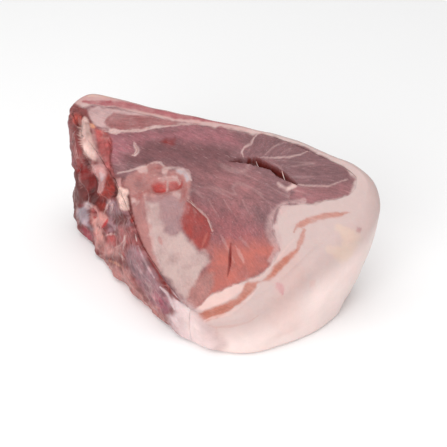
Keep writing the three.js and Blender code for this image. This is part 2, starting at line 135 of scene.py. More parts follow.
GRIP = 1.5  # above 1, the relief is full before the foot's rounding ends
FOLD_REACH = 2.5  # half widths out to which a fold is felt
# These are finer than the solids.
TORN_PARTS, FAT_PARTS = 4, 6  # fine samples for each coarse one
TUCK = 0.45  # how far the lean's edge runs in under the fat, so that no gap shows
SUNK = 0.15  # how far it lies below the fat at the cut face
OVERLAP = 4  # samples by which the cap of fat runs on past its ends
SPARSE = 7  # of the rows, every so many are used on walls that nobody sees
CREST_ROWS = 34  # from the outer edge of the fat to the edge of the lean
CUT_STEP = 0.42  # spacing of the points in and beside the open cuts
# What kind of surface a point is on.
FACE, TORN, SIDE, BASE = range(4)

# ---- Where the fibres run ----
# Angle of the fibres in plan, in degrees, and the outline of the muscle on the face.
GRAINS = [
    (-62, [(-30, -2), (20, -12), (60, -30), (40, -60), (-20, -90)]),
    (32, [(25, 37), (55, 28), (67, 15), (37, 14), (12, 22)]),
    (-12, [(37, 15), (67, 15), (92, 0), (92, -14), (54, -6)]),
    (-25, [(52, -6), (92, -13), (104, -20), (80, -28), (48, -20)]),
    (-14, [(-94, 64), (-88, 75), (-56, 67), (-32, 56), (-78, 58)]),
    (-75, [(-70, 0), (-28, -8), (-8, -52), (-30, -80)]),
]
MAIN_GRAIN = -36  # in the rest of the face
FLAP_GRAIN, SLAB_GRAIN = 86, -28  # on the torn wall, up from its length
# Places along the torn wall, in millimetres from its back end: where the upright fibres of the flap
# end, where the specks of blood end, where the tissue turns calm, where the fat shows through it,
# and where the ragged relief ends.
FLAP_END, SPECKS_END, CALM_FROM, FAT_FROM, RAGGED_END = 58, 150, 160, 174, 214


def linear(code):
    """An sRGB hex code as a linear colour."""
    parts = [int(code[i : i + 2], 16) / 255 for i in (1, 3, 5)]
    return tuple(p / 12.92 if p <= 0.04045 else ((p + 0.055) / 1.055) ** 2.4 for p in parts)


def length(name, description, millimetres):
    """A size that a user can change."""
    return FloatProperty(
        name=name, description=description, default=millimetres * MM, min=0, precision=4, unit="LENGTH"
    )


def number(name, description, default, **limits):
    """A bare number that a user can change."""
    return FloatProperty(name=name, description=description, default=default, **limits)


def tint(name, description, code):
    """A colour that a user can change."""
    return FloatVectorProperty(
        name=name, description=description, default=linear(code), size=3, min=0, max=1, subtype="COLOR"
    )


class PorkSizes(bpy.types.PropertyGroup):
    """Sizes of the joint and of its meshes."""

    face_height: length("Face height", "Height of the cut face over the drawing's origin", 84.7)
    rise_right: number("Rise to the right", "Slope of the cut face along X", 0.219)
    rise_back: number("Rise to the back", "Slope of the cut face along Y", 0.561)
    crest_on_fat: length("Crest on the fat", "Largest rounding of the upper edge where fat is thick", 12)
    crest_on_lean: length("Crest on the lean", "Rounding of the upper edge of the torn side", 3)
    foot: length("Foot", "Rounding of the lower edge", 5)
    fat_under: length("Fat lower down", "Thickness of the cap of fat below the crest", 9)
    fat_edge: length("Fat at its ends", "Thickness of the cap of fat where it ends", 0.9)
    fat_fade: length("Fading of the fat", "Length over which the cap thins towards its ends", 26)
    face_step: length("Face detail", "Spacing of the points of the cut face", 0.82)
    base_step: length("Base detail", "Spacing of the points of the base", 2.0)
    wall_rows: IntProperty(
        name="Wall rows", description="Rows of points from the crest to the base", default=84
    )
    fibre_relief: length("Fibre relief", "Height of the fibres on the cut face", 0.22)
    arch_relief: length("Arch relief", "Height of the lumps in the tissue round the arch", 0.8)
    torn_relief: length("Torn relief", "Height of the ragged detail on the torn wall", 1.1)
    strand_spacing: length("Strand spacing", "Length of the segments of a strand of sinew", 1.2)
    strand_unevenness: number("Strand unevenness", "How much a strand's thickness varies", 1.1, min=0)
    strand_seed: number("Strand seed", "Seed of that variation", 7)
    fat_relief: length("Fat relief", "Height of the unevenness of the fat", 0.18)


class PorkColours(bpy.types.PropertyGroup):
    """Colours of the tissues."""

    lean: tint("Lean", "Cut muscle in the middle of the face", "#7d5659")
    mid_lean: tint("Middle lean", "Lighter muscle under the open cut", "#925f61")
    rosy_lean: tint("Rosy lean", "Cut muscle at the upper left", "#975d64")
    eye_lean: tint("Small muscle", "Small muscle at the back left", "#925959")
    dull_lean: tint("Dull lean", "Greyish muscle at the right end", "#7a5558")
    end_lean: tint("End lean", "Muscle at the right tip", "#936164")
    dark_lean: tint("Dark lean", "Darkened muscle", "#6f4548")
    low_lean: tint("Low lean", "Muscle at the lowest corner of the face", "#a3706b")
    salmon_lean: tint("Salmon lean", "Lower front of the lean", "#b46358")
    red_lean: tint("Red lean", "Redder middle of the front", "#905356")
    fresh_lean: tint("Fresh lean", "Freshly opened red muscle", "#933a35")
    strip_lean: tint("Strip", "Outer strip of the torn side", "#7b403f")
    red_zone: tint("Red zone", "Red flesh beside the flap", "#a84f4e")
    lump: tint("Lump", "Red lump at the top of the strip", "#a8483f")
    lobe: tint("Lobe", "Orange-red end of the flap", "#842218")
    blood: tint("Blood", "Blood in the folds", "#781c1a")
    bright_blood: tint("Fresh blood", "Fresh blood beside the knob", "#a42226")
    magenta_skin: tint("Bruised skin", "Reddish patch in the silver skin", "#935562")
    amber: tint("Amber", "Yellowish spots of dried fat", "#c98f74")
    cavity_floor: tint("Cavity floor", "Bottom of the lower cavity", "#7a251c")
    magenta: tint("Magenta", "Bruised patch below the knob", "#93404a")
    # Dark red inside the open cut, partly painted shade.
    slit: tint("Open cut", "Inside of the open cut", "#5b1812")
    # Dark red of blood in the cavity, the clefts and the slit, darkened further as painted shade in these
    # recesses.
    deep_red_and_shade: tint("Deep cut", "Bottom of the cavity, the clefts and the slit", "#500b08")
    window: tint("Window", "Red spots inside the arch", "#ab4440")
    membrane: tint("Membrane", "Silver skin over the torn wall", "#783d3c")
    grey_membrane: tint("Grey membrane", "Dark patches under the membrane", "#632e2c")
    # Also drawn as a painted highlight down the left edge of the strip.
    lilac_skin_and_highlight: tint("Lilac skin", "Silver skin over the slab", "#8d676d")
    # Also drawn in thin lines over the silver skin of the slab as painted highlight.
    pale_skin_and_highlight: tint("Pale skin", "Silver skin where it meets the fat", "#c7aeb0")
    fibrous: tint("Fibrous tissue", "Red fibres under the crevice", "#904e4e")
    gristle: tint("Gristle", "White gristle", "#c2b0b2")
    knob: tint("Knob", "Bluish white knob of gristle", "#a3939b")
    sinew: tint("Sinew", "Cream sinew and seams", "#d0b0ab")
    plate: tint("Plate", "Creamy part of the plate", "#bea29d")
    dull_plate: tint("Dull plate", "Mauve part of the plate", "#a17f80")
    flap: tint("Flap", "Hanging flap", "#d4b1a9")
    flap_low: tint("Lower flap", "Pinker end of the flap", "#ac7b79")
    column: tint("Column", "Lumps of fat beside the crevice", "#cca89f")
    pink_tissue: tint("Pink tissue", "Pale pink tissue", "#a8736f")
    crumbly: tint("Crumbly tissue", "Crumbly pink tissue beside the knob", "#c68b84")
    # Also laid on the outside of the fat as painted shade, over its rounded top and towards its right end.
    cut_fat_and_shade: tint("Fat on the face", "Fat where the cut crosses it", "#bca39f")
    fat_bright: tint("Bright fat", "White wedge of fat at the front", "#dcbab3")
    fat_side: tint("Fat on the side", "Smooth outside of the fat", "#f0dad5")
    fat_blush: tint("Blush", "Pink stain in the fat", "#cf9c92")
    fat_back: tint("Fat at the back", "Fat at the back left", "#bc908d")
    fat_corner: tint("Fat at the corner", "Mottled fat round the small muscle", "#c2a09e")
    back_streak: tint("Back streak", "Streak of lean in the fat at the back", "#9f5a5e")
    # Painted shade in folds of the fat, and the colour of its dried edges.
    fold_shade_and_dried_fat: tint("Folds of the fat", "Shaded folds and dried edges in the fat", "#c59a92")
    fat_bruise: tint("Bruise in the fat", "Pink spot on the side", "#bd6a76")
    fat_yellow: tint("Yellow fat", "Yellower places in the fat", "#dfc0a4")
    lean_in_fat: tint("Lean in the fat", "Strip of lean that runs through the fat", "#b26d5c")


# How smooth each tissue is, from 0 for fibrous muscle, as all that aren't named here, to 1 for fat.
FATTY = {
    "cut_fat_and_shade": 1, "fat_side": 1, "fat_bright": 1, "fat_blush": 1, "fat_back": 1, "fold_shade_and_dried_fat": 1,
    "fat_yellow": 1, "fat_bruise": 0.9, "fat_corner": 0.6, "lean_in_fat": 0.5, "back_streak": 0.35,
    "gristle": 0.85, "knob": 0.85, "sinew": 0.8, "plate": 0.8, "flap": 0.8, "pale_skin_and_highlight": 0.8,
    "dull_plate": 0.6, "flap_low": 0.6, "pink_tissue": 0.6, "crumbly": 0.6, "lilac_skin_and_highlight": 0.6,
    "amber": 0.6, "salmon_lean": 0.6, "deep_red_and_shade": 0.6, "grey_membrane": 0.5, "blood": 0.5, "membrane": 0.35,
    "red_zone": 0.3, "fresh_lean": 0.3, "magenta_skin": 0.3, "slit": 0.3, "low_lean": 0.2,
    "cavity_floor": 0.1,
}

# ---- Paint ----
# A patch is a colour, its outline and its softness. A stroke is a colour, its path, half its width
# and its strength. All places were chosen on the photograph and turned into millimetres.
# Those on the face and in the fat are in plan.
INNER_EDGE_OF_FAT = [(60, -20), (44, -21), (37, -28), (35, -36), (38, -43), (40, -50), (34, -58)]
FACE_PATCHES = [
    ("rosy_lean", [(-104, 64), (-60, 54), (-20, 50), (8, 42), (14, 30), (-8, 34), (-50, 44), (-90, 34)], 10),
    ("fat_corner", [(-109, 81), (-101, 83), (-88, 77), (-73, 73), (-50, 67), (-30, 60), (-23, 56.5),
                    (-40, 57.5), (-62, 56.5), (-78, 58), (-86, 59.5), (-93, 63), (-99, 65), (-104, 68),
                    (-107, 74)], 1.4),
    ("eye_lean", [(-94, 68), (-93, 70), (-91, 72), (-87, 74), (-80, 72), (-66, 68), (-57, 66),
                  (-48, 62), (-38, 59), (-34, 57), (-48, 56), (-65, 56), (-75, 57.5), (-87, 60.5),
                  (-92, 64.5)], 1.0),
    ("dark_lean", [(-57, 47), (-38, 41), (-18, 35), (1, 27), (10, 20), (6, 11), (-1, 6), (-10, 0), (-19, 5),
                   (-29, 16), (-41, 25), (-55, 31)], 10),
    ("dark_lean", [(-70, 46), (-48, 42), (-20, 36), (4, 28), (4, 22), (-20, 26), (-40, 29), (-62, 34)], 7),
    ("dark_lean", [(-82, 42), (-66, 37), (-56, 34), (-48, 29), (-56, 28), (-66, 31), (-78, 35)], 4),
    ("mid_lean", [(-26, 18), (-14, 9), (-6, -8), (5, -21), (20, -20), (29, -10), (24, 2), (13, 10)], 14),
    ("red_lean", [(-22, -6), (2, -14), (24, -34), (30, -50), (10, -58), (-8, -42)], 14),
    ("salmon_lean", [(-9, -42), (5, -41), (23, -45), (43, -46), (43, -52), (36, -58), (30, -63),
                     (24, -69), (18, -74), (0, -76), (-14, -80), (-26, -82), (-24, -69), (-16, -61),
                     (-10, -53)], 11),
    ("low_lean", [(-29, -80), (-24, -70), (-19, -63), (-13, -58), (-7, -62), (-8, -70), (-11, -77),
                  (-20, -81)], 3),
    ("fresh_lean", [(-28, -6), (-20, -12), (-12, -20), (-8, -30), (-12, -39), (-18, -43), (-25, -36),
                    (-31, -27), (-33, -19)], 2.4),
    ("dull_lean", [(25, 35), (32, 34), (42, 34), (55, 27), (65, 16), (58, 12), (50, 12), (37, 15), (26, 18),
                   (17, 22), (15, 25), (20, 29)], 1.6),
    ("dull_lean", [(37, 14), (50, 12), (58, 12), (66, 14), (75, 10), (81, 4), (86, -3), (90, -7), (86, -13),
                   (75, -12), (66, -10), (54, -5), (48, 1), (42, 7)], 1.6),
    ("end_lean", [(54, -8), (66, -11), (78, -14), (90, -13), (94, -12), (99, -16), (100, -20), (93, -22),
                  (85, -25), (74, -25), (64, -22), (57, -19), (50, -16)], 1.8),
    ("pink_tissue", [(-79, 16), (-73, 23), (-63, 28), (-52, 28), (-48, 27), (-44, 21), (-40, 18),
                     (-34, 20), (-28, 15), (-25, 9), (-27, -8), (-40, -20), (-52, -34), (-47, -52),
                     (-58, -46), (-68, -24)], 1.8),
    ("dull_plate", [(-58, 2), (-48, 1), (-36, 1), (-29, -8), (-33, -19), (-31, -27), (-38, -34), (-50, -34),
                    (-54, -22), (-56, -10)], 5),
    ("plate", [(-58, -2), (-50, -2), (-48, -14), (-44, -26), (-38, -30), (-31, -27), (-24, -36), (-18, -43),
               (-11, -47), (-10, -52), (-14, -56), (-17, -58), (-20, -63), (-25, -69), (-28, -77), (-34, -67),
               (-41, -60), (-47, -49), (-51, -40), (-53, -32), (-55, -20), (-58, -8)], 3),
    ("gristle", [(-37, 19), (-31, 20), (-26, 14), (-25, 10), (-28, 8), (-31, 13), (-36, 15)], 1.6),
    ("window", [(-55, 11), (-51, 13), (-44, 13), (-43, 7), (-49, 6.5), (-54, 9)], 1.6),
    ("window", [(-42, 13), (-34, 11), (-31, 9), (-32, 7), (-36, 5), (-42, 6)], 1.6),
    ("sinew", [(41, -4), (45, -9), (48, -11), (54, -8.5), (52, -7), (47, -7)], 1.4),
    ("blood", [(-49, 44), (-46, 45), (-40, 44), (-38, 42), (-38, 40), (-42, 39), (-45, 41)], 2.4),
]
FACE_STROKES = [
    ("sinew", [(-95, 61), (-87, 60), (-80, 59), (-75, 58), (-65, 56), (-55, 56), (-44, 56), (-34, 55),
               (-18, 53)], 0.7, 0.75),
    ("sinew", [(-90, 61), (-82, 58.5)], 1.8, 0.8),
    ("sinew", [(-36, 56.5), (-29, 54.5), (-20, 53), (-10, 51), (8, 44)], 0.9, 0.65),
    ("sinew", [(-70, 48), (-69, 45), (-67, 42), (-67, 40), (-69, 38), (-71, 38)], 1.5, 0.85),
    ("sinew", [(-101, 63), (-94, 62), (-84, 57)], 0.9, 0.5),
    ("sinew", [(28, 37), (23, 34), (21, 30), (16, 28), (14, 25), (15, 22)], 0.9, 0.65),
    ("sinew", [(66, 15.5), (58, 12.5), (50, 12), (37, 14.5), (26, 17.5)], 0.7, 0.5),
    ("sinew", [(43, 24), (38, 22), (32, 18)], 0.7, 0.35),
    ("sinew", [(38, 22), (48, 25)], 0.6, 0.25),
    ("sinew", [(54, -7), (60, -9), (68, -11), (78, -13.5), (92, -11)], 0.8, 0.45),
    ("sinew", [(-27, -5), (-20, -12), (-12, -20), (-8, -31)], 0.9, 0.7),
    ("sinew", [(-50, 14), (-45, 14), (-36, 12), (-33, 10)], 0.9, 0.8),
    ("sinew", [(-43, 13), (-43, 6)], 1.1, 0.7),
    ("sinew", [(-82, 26), (-74, 26), (-67, 27), (-60, 28), (-54, 29), (-49, 28), (-44, 22)], 0.9, 0.6),
    ("sinew", [(-62, 8), (-59, -3), (-57, -12), (-55, -22), (-53, -32), (-50, -41), (-46, -50)], 1.1, 0.35),
    ("pink_tissue", [(-30, 6), (-27, -4), (-30, -14)], 2.0, 0.6),
    ("salmon_lean", [(-12, -31), (-16, -41)], 1.4, 0.5),
    ("sinew", [(-2, -34), (2, -42), (8, -56)], 0.9, 0.22),
    ("sinew", [(9, -44), (15, -57)], 1.2, 0.35),
    ("sinew", [(12, -38), (20, -48)], 0.9, 0.2),
    ("window", [(-48.5, -29), (-46, -34)], 1.4, 0.5),
    ("dark_lean", [(-73, 33), (-68, 35), (-64, 32), (-60, 29), (-57, 29)], 1.6, 0.85),
    ("dark_lean", [(-66, 48), (-58, 45), (-49, 43), (-37, 37), (-18, 31)], 1.2, 0.6),
    # The end of the crevice beside the plate: dark red and painted shade.
    ("deep_red_and_shade", [(-29, -77), (-24, -82)], 1.2, 0.4),
    ("sinew", [(-49, 28), (-44, 22), (-36, 20.5), (-28, 17), (-24.5, 9)], 1.7, 0.6),
    ("fat_corner", INNER_EDGE_OF_FAT, 4.5, 0.6),
]
FAT_PATCHES = [
    ("fat_back", [(-126, 90), (-112, 102), (-90, 98), (-60, 82), (-20, 66), (20, 52), (30, 38),
                  (-20, 52), (-60, 66), (-92, 80)], 9),
    ("fat_bright", [(-23, -80), (-16, -80), (-11, -76), (-5, -73), (2, -70), (8, -70), (15, -73), (14, -76),
                    (8, -78), (2, -81), (-6, -83), (-15, -84), (-21, -82)], 1.4),
    ("lean_in_fat", [(-18, -86), (-13, -85), (-5, -83), (3, -82), (9, -80), (13, -77), (16, -72),
                     (18, -71), (24, -72), (23, -75), (17, -81), (12, -85), (4, -89), (-5, -92),
                     (-14, -92), (-18, -89)], 1.6),
    ("lean_in_fat", [(25, -72), (31, -69), (38, -62), (44, -57), (50, -54), (54, -53), (54, -56), (48, -60),
                     (45, -63), (39, -69), (33, -72)], 1.6),
]
FAT_STROKES = [
    ("fat_corner", INNER_EDGE_OF_FAT, 4.5, 0.6),
    ("back_streak", [(-113, 88), (-102, 86), (-91, 83), (-82, 80), (-70, 76), (-59, 72), (-48, 67),
                     (-37, 62), (-19, 57), (10, 46)], 2.7, 1),
    # A darker line of painted shade and dried fat along a fold in the cut fat.
    ("fold_shade_and_dried_fat", [(-72, 73), (-62, 69), (-51, 65), (-37, 59), (-19, 53)], 0.7, 0.4),
    ("magenta", [(-94, 85), (-90, 84)], 1.3, 0.5),
    ("sinew", [(15, -70), (26, -69), (32, -64), (39, -58), (44, -53), (48, -49), (54, -45)], 0.9, 0.75),
    ("sinew", [(-24, -77), (-13, -73), (0, -69), (8, -69)], 0.9, 0.6),
    ("fat_bright", [(-14, -92), (5, -90), (17, -83), (26, -75)], 1.2, 0.5),
    ("fat_yellow", [(-108, 92), (-98, 92), (-84, 86)], 2, 0.35),
    ("lean_in_fat", [(54, -54), (57, -47), (59, -41)], 2.2, 0.65),
    ("lean_in_fat", [(52, -41), (54, -37), (62, -35), (70, -34), (76, -34), (86, -34.5), (92, -34)],
     2.4, 0.75),
]
# On the side of the fat: colour, path in space, half width, strength.
SIDE_MARKS = [
    ("fat_bruise", [(39, -74, 51), (41, -78, 50), (43, -81, 47)], 2.6, 0.55),
    ("fat_blush", [(63, -72, 47), (66, -70, 50)], 3.2, 0.3),
    ("back_streak", [(97, -46, 77), (100, -44, 78)], 2.0, 0.5),
    # A fold and a line of painted shade on the front of the fat.
    ("fold_shade_and_dried_fat", [(-11, -93, 28), (-6, -94, 26), (6, -95, 28), (18, -94, 31), (25, -91, 35)], 1.1, 0.7),
    ("fold_shade_and_dried_fat", [(-5, -94, 27), (-5, -93, 18), (-3, -93, 9)], 1.0, 0.65),
    ("fat_yellow", [(77, -57, 69), (89, -57, 64), (94, -51, 73), (84, -44, 79)], 7, 0.35),
    ("pale_skin_and_highlight", [(-27, -83, 32), (-20, -89, 27), (-13, -92, 21), (-7, -93, 11)], 4, 0.5),
]
# Strands that cross the open cut, in plan, and half the width of what each stands for.
BRIDGES = [[(25, 17.5), (28, 10.5)], [(44, 4.5), (46.5, -2.5)]]
BRIDGE_HALF = 1.2
STRAND_SHARE = 0.3  # a strand's thickness as a share of its stroke's width
STRAND_FROM = 0.65  # only a stroke on the face that is stronger than this gets a strand
STRAND_STEP = 1.5  # spacing of the places along a stroke at which its strand is laid on the flesh
# Lumpy ground of the pink tissue round the arch, in plan.
ARCH = [(-79, 16), (-73, 23), (-63, 28), (-52, 28), (-46, 24), (-34, 20), (-27, 12), (-27, -6),
        (-40, 2), (-58, 4), (-70, -10)]
# The torn side and its tissues, in millimetres right and up as the camera sees them.
CREVICE = [(-68, -0.5), (-65.5, -6), (-64, -11.5), (-61.5, -18), (-58, -24), (-58.5, -23), (-56, -29),
  (-52.5, -34), (-50, -38.5), (-47.5, -43.5), (-44.5, -48), (-41.5, -52), (-37, -57), (-33, -60),
  (-29.5, -61.5)]
SILVER_STRAND = [(-49, -49), (-44, -53.5), (-40, -61), (-38, -66)]
TORN_OUTLINE = [(-124, 98.5), (-112.5, 91), (-106, 88.5), (-104, 84), (-102.5, 79.5), (-98.5, 74),
  (-93, 72), (-89, 69.5), (-86.5, 65), (-86, 58.5), (-87, 48.5), (-85.5, 41.5), (-85, 40), (-83.5, 36),
  (-79, 36.5), (-76.5, 33.5), (-77, 29), (-73, 26.5), (-72.5, 22.5), (-71.5, 17.5), (-70.5, 10.5),
  (-68.5, 3.5), (-67.5, -0.5), (-65.5, -6), (-64, -11.5), (-61.5, -18), (-58, -24), (-58.5, -23),
  (-55.5, -28.5), (-52, -33.5), (-50, -38.5), (-47.5, -43), (-44.5, -48), (-41.5, -51.5), (-37, -56.5),
  (-32.5, -60), (-29.5, -61), (-25.5, -65), (-20.5, -71.5), (-15.5, -78.5), (-7.5, -85.5), (0.5, -93.5),
  (-14.5, -103.5), (-50, -85.5), (-109, -44.5), (-130.5, 3.5), (-130.5, 86)]
TORN_PATCHES = [
    ("strip_lean", [(-124, 96.5), (-112.5, 90.5), (-106, 87.5), (-108, 84), (-108.5, 79.5),
      (-111.5, 74.5), (-112, 68.5), (-110, 62), (-107, 54), (-104, 47), (-102, 40), (-103.5, 35),
      (-112.5, 37.5), (-124, 38)], 1.5),
    ("membrane", [(-113, 89.5), (-106, 87.5), (-107.5, 84), (-113, 85.5), (-116, 87)], 1.5),
    ("grey_membrane", [(-117.5, 42), (-110, 41), (-105, 36.5), (-105, 30.5), (-106, 24.5), (-105, 19.5),
      (-102.5, 17.5), (-106.5, 15.5), (-108, 13), (-112, 12), (-117.5, 12), (-119, 28)], 2.5),
    ("blood", [(-113, 45), (-108, 48.5), (-105.5, 45), (-102, 38), (-101.5, 32.5), (-109, 34),
      (-111, 38)], 2),
    ("lump", [(-118, 84), (-112.5, 85.5), (-109, 83), (-109.5, 79.5), (-112.5, 77), (-116.5, 78)], 1.6),
    ("red_zone", [(-100.5, 74), (-95, 72.5), (-89, 68.5), (-86.5, 64), (-86.5, 56), (-87, 48.5),
      (-85.5, 41.5), (-85, 37.5), (-87.5, 38), (-90.5, 43), (-93, 48.5), (-96.5, 56.5), (-98, 63),
      (-99.5, 68.5)], 2.8),
    ("flap", [(-110, 78.5), (-107.5, 82.5), (-105.5, 81.5), (-104, 78), (-102.5, 72.5), (-100.5, 66),
      (-98.5, 63), (-98, 57.5), (-97, 51.5), (-98.5, 48.5), (-103.5, 49.5), (-105.5, 53), (-107.5, 54),
      (-110, 61.5), (-111.5, 68.5), (-110.5, 72.5), (-112.5, 74), (-110.5, 76.5)], 1),
    ("flap_low", [(-104, 77.5), (-102, 76.5), (-99.5, 72.5), (-98, 64), (-96, 54.5), (-92.5, 46),
      (-89.5, 39.5), (-91.5, 37.5), (-95, 40.5), (-97, 47.5), (-99, 54.5), (-100.5, 64),
      (-102.5, 72.5)], 1.6),
    ("flap_low", [(-104.5, 45.5), (-98.5, 45), (-91.5, 43), (-89.5, 39), (-90.5, 35.5), (-91.5, 30.5),
      (-92, 25.5), (-95.5, 23), (-98, 24), (-96.5, 29), (-97, 33), (-99, 38), (-102, 40)], 1.6),
    ("amber", [(-103, 77), (-99.5, 77.5), (-98, 75), (-100.5, 73), (-102.5, 74.5)], 1),
    # The cavity: its dark colour is blood and painted shade.
    ("deep_red_and_shade", [(-104.5, 37), (-100.5, 38), (-98.5, 36), (-97, 31.5), (-98, 25.5), (-98.5, 22),
      (-94.5, 19), (-90.5, 17.5), (-89.5, 15.5), (-90, 11.5), (-91.5, 8.5), (-95.5, 9.5), (-98.5, 13),
      (-101.5, 14.5), (-103.5, 17), (-105.5, 20.5), (-105, 26.5), (-104, 30.5)], 1.6),
    ("blood", [(-104.5, 36), (-100.5, 37.5), (-98.5, 35.5), (-97.5, 31.5), (-98.5, 27), (-103, 25.5),
      (-105, 24.5), (-104.5, 30.5)], 2.4),
    ("cavity_floor", [(-97.5, 16), (-91.5, 17), (-90.5, 14.5), (-91.5, 9), (-95, 9.5), (-97, 12.5)], 2),
    ("lobe", [(-91.5, 31), (-90, 35.5), (-89, 39), (-87, 37), (-85, 33), (-83.5, 29), (-82.5, 25.5),
      (-84.5, 22.5), (-87, 19.5), (-91.5, 18.5), (-94.5, 20.5), (-97.5, 22.5), (-97, 24), (-94.5, 23.5),
      (-92, 25.5)], 1.8),
    ("membrane", [(-90.5, 43), (-87, 43), (-85.5, 39), (-85, 35.5), (-87, 36), (-89.5, 38.5)], 2),
    ("flap_low", [(-84, 34.5), (-82, 36), (-79, 36), (-77, 33.5), (-78, 30.5), (-80, 27.5),
      (-82.5, 28.5), (-83.5, 31.5)], 1.4),
    ("column", [(-82, 28.5), (-79, 28.5), (-77, 27.5), (-73, 26.5), (-73, 22.5), (-74, 20.5),
      (-73.5, 15.5), (-73.5, 11.5), (-77, 10.5), (-80.5, 11), (-81.5, 15.5), (-82.5, 20.5),
      (-83, 24)], 1.4),
    ("lilac_skin_and_highlight", [(-89.5, 17), (-86, 19), (-82, 17.5), (-81, 12.5), (-79, 9.5), (-74, 7.5),
      (-73, 3.5), (-71, -0.5), (-73, -3), (-79, -2), (-82, -4), (-86, -7.5), (-89.5, -8), (-89, 1),
      (-88.5, 5), (-90, 9.5)], 2),
    ("grey_membrane", [(-85, 6.5), (-81, 7), (-75, 6.5), (-73.5, 2.5), (-74.5, -2), (-80, -2),
      (-84.5, -0.5)], 2.4),
    ("crumbly", [(-102.5, 13.5), (-98.5, 13), (-96.5, 8.5), (-91.5, 8), (-89, 5), (-90, 1.5), (-94, -2),
      (-96.5, -2), (-100.5, 1), (-102, 4), (-102.5, 7.5)], 1.6),
    ("crumbly", [(-100.5, 1), (-96.5, -2), (-94.5, -4.5), (-93.5, -9), (-91.5, -14), (-94.5, -16.5),
      (-98.5, -13.5), (-99, -9), (-100.5, -5)], 2),
    ("knob", [(-113, 11.5), (-107.5, 13), (-104.5, 10.5), (-104, 6), (-104.5, 1), (-102.5, -2),
      (-100.5, -4.5), (-101.5, -6), (-104.5, -4), (-107.5, -1.5), (-110.5, -0.5), (-113, 6)], 1.4),
    ("pale_skin_and_highlight", [(-107.5, 15.5), (-104.5, 16.5), (-102.5, 14.5), (-103, 11), (-104.5, 10.5),
      (-107, 13)], 1.6),
    ("magenta", [(-109, -1), (-105.5, -4), (-102.5, -6.5), (-99.5, -8.5), (-100, -11.5), (-103.5, -14),
      (-107.5, -11.5), (-110, -6)], 1.8),
    ("red_zone", [(-89.5, -9), (-83.5, -8.5), (-81.5, -11.5), (-83.5, -16.5), (-87.5, -17.5),
      (-89.5, -14)], 3),
    ("fibrous", [(-81, -3.5), (-68, -3.5), (-65, -8), (-64, -13), (-61.5, -19), (-64, -24),
      (-77, -25.5), (-82, -21.5), (-79.5, -14)], 4),
    ("pink_tissue", [(-98.5, -12.5), (-94.5, -13.5), (-90.5, -15.5), (-84, -18), (-79, -18.5),
      (-77.5, -22.5), (-82, -26), (-87, -25), (-91.5, -25), (-98.5, -18.5)], 3),
    ("lilac_skin_and_highlight", [(-75.5, -19.5), (-68, -17), (-60.5, -24), (-56, -32.5), (-53, -37), (-49, -45.5),
      (-42.5, -54.5), (-38.5, -62), (-42.5, -68), (-50, -66.5), (-58.5, -58), (-63, -51.5),
      (-68, -44.5), (-72, -35.5)], 4),
    ("pink_tissue", [(-95, -26.5), (-88, -30.5), (-79.5, -35), (-73.5, -37), (-68, -46.5), (-62, -53.5),
      (-55, -62), (-46.5, -69.5), (-42.5, -76), (-50, -79.5), (-69, -62), (-95, -44.5)], 4),
    ("magenta_skin", [(-58, -53.5), (-50, -52.5), (-44, -59.5), (-41, -68), (-45.5, -69.5),
      (-51.5, -64), (-56, -59.5)], 4),
    ("pale_skin_and_highlight", [(-38, -50), (-31, -56), (-24, -61), (-17, -68), (-8, -80), (12, -88), (14, -104),
      (-20, -106), (-34, -88), (-41, -78.5), (-43.5, -71.5), (-38, -68), (-39.5, -62)], 4),
]
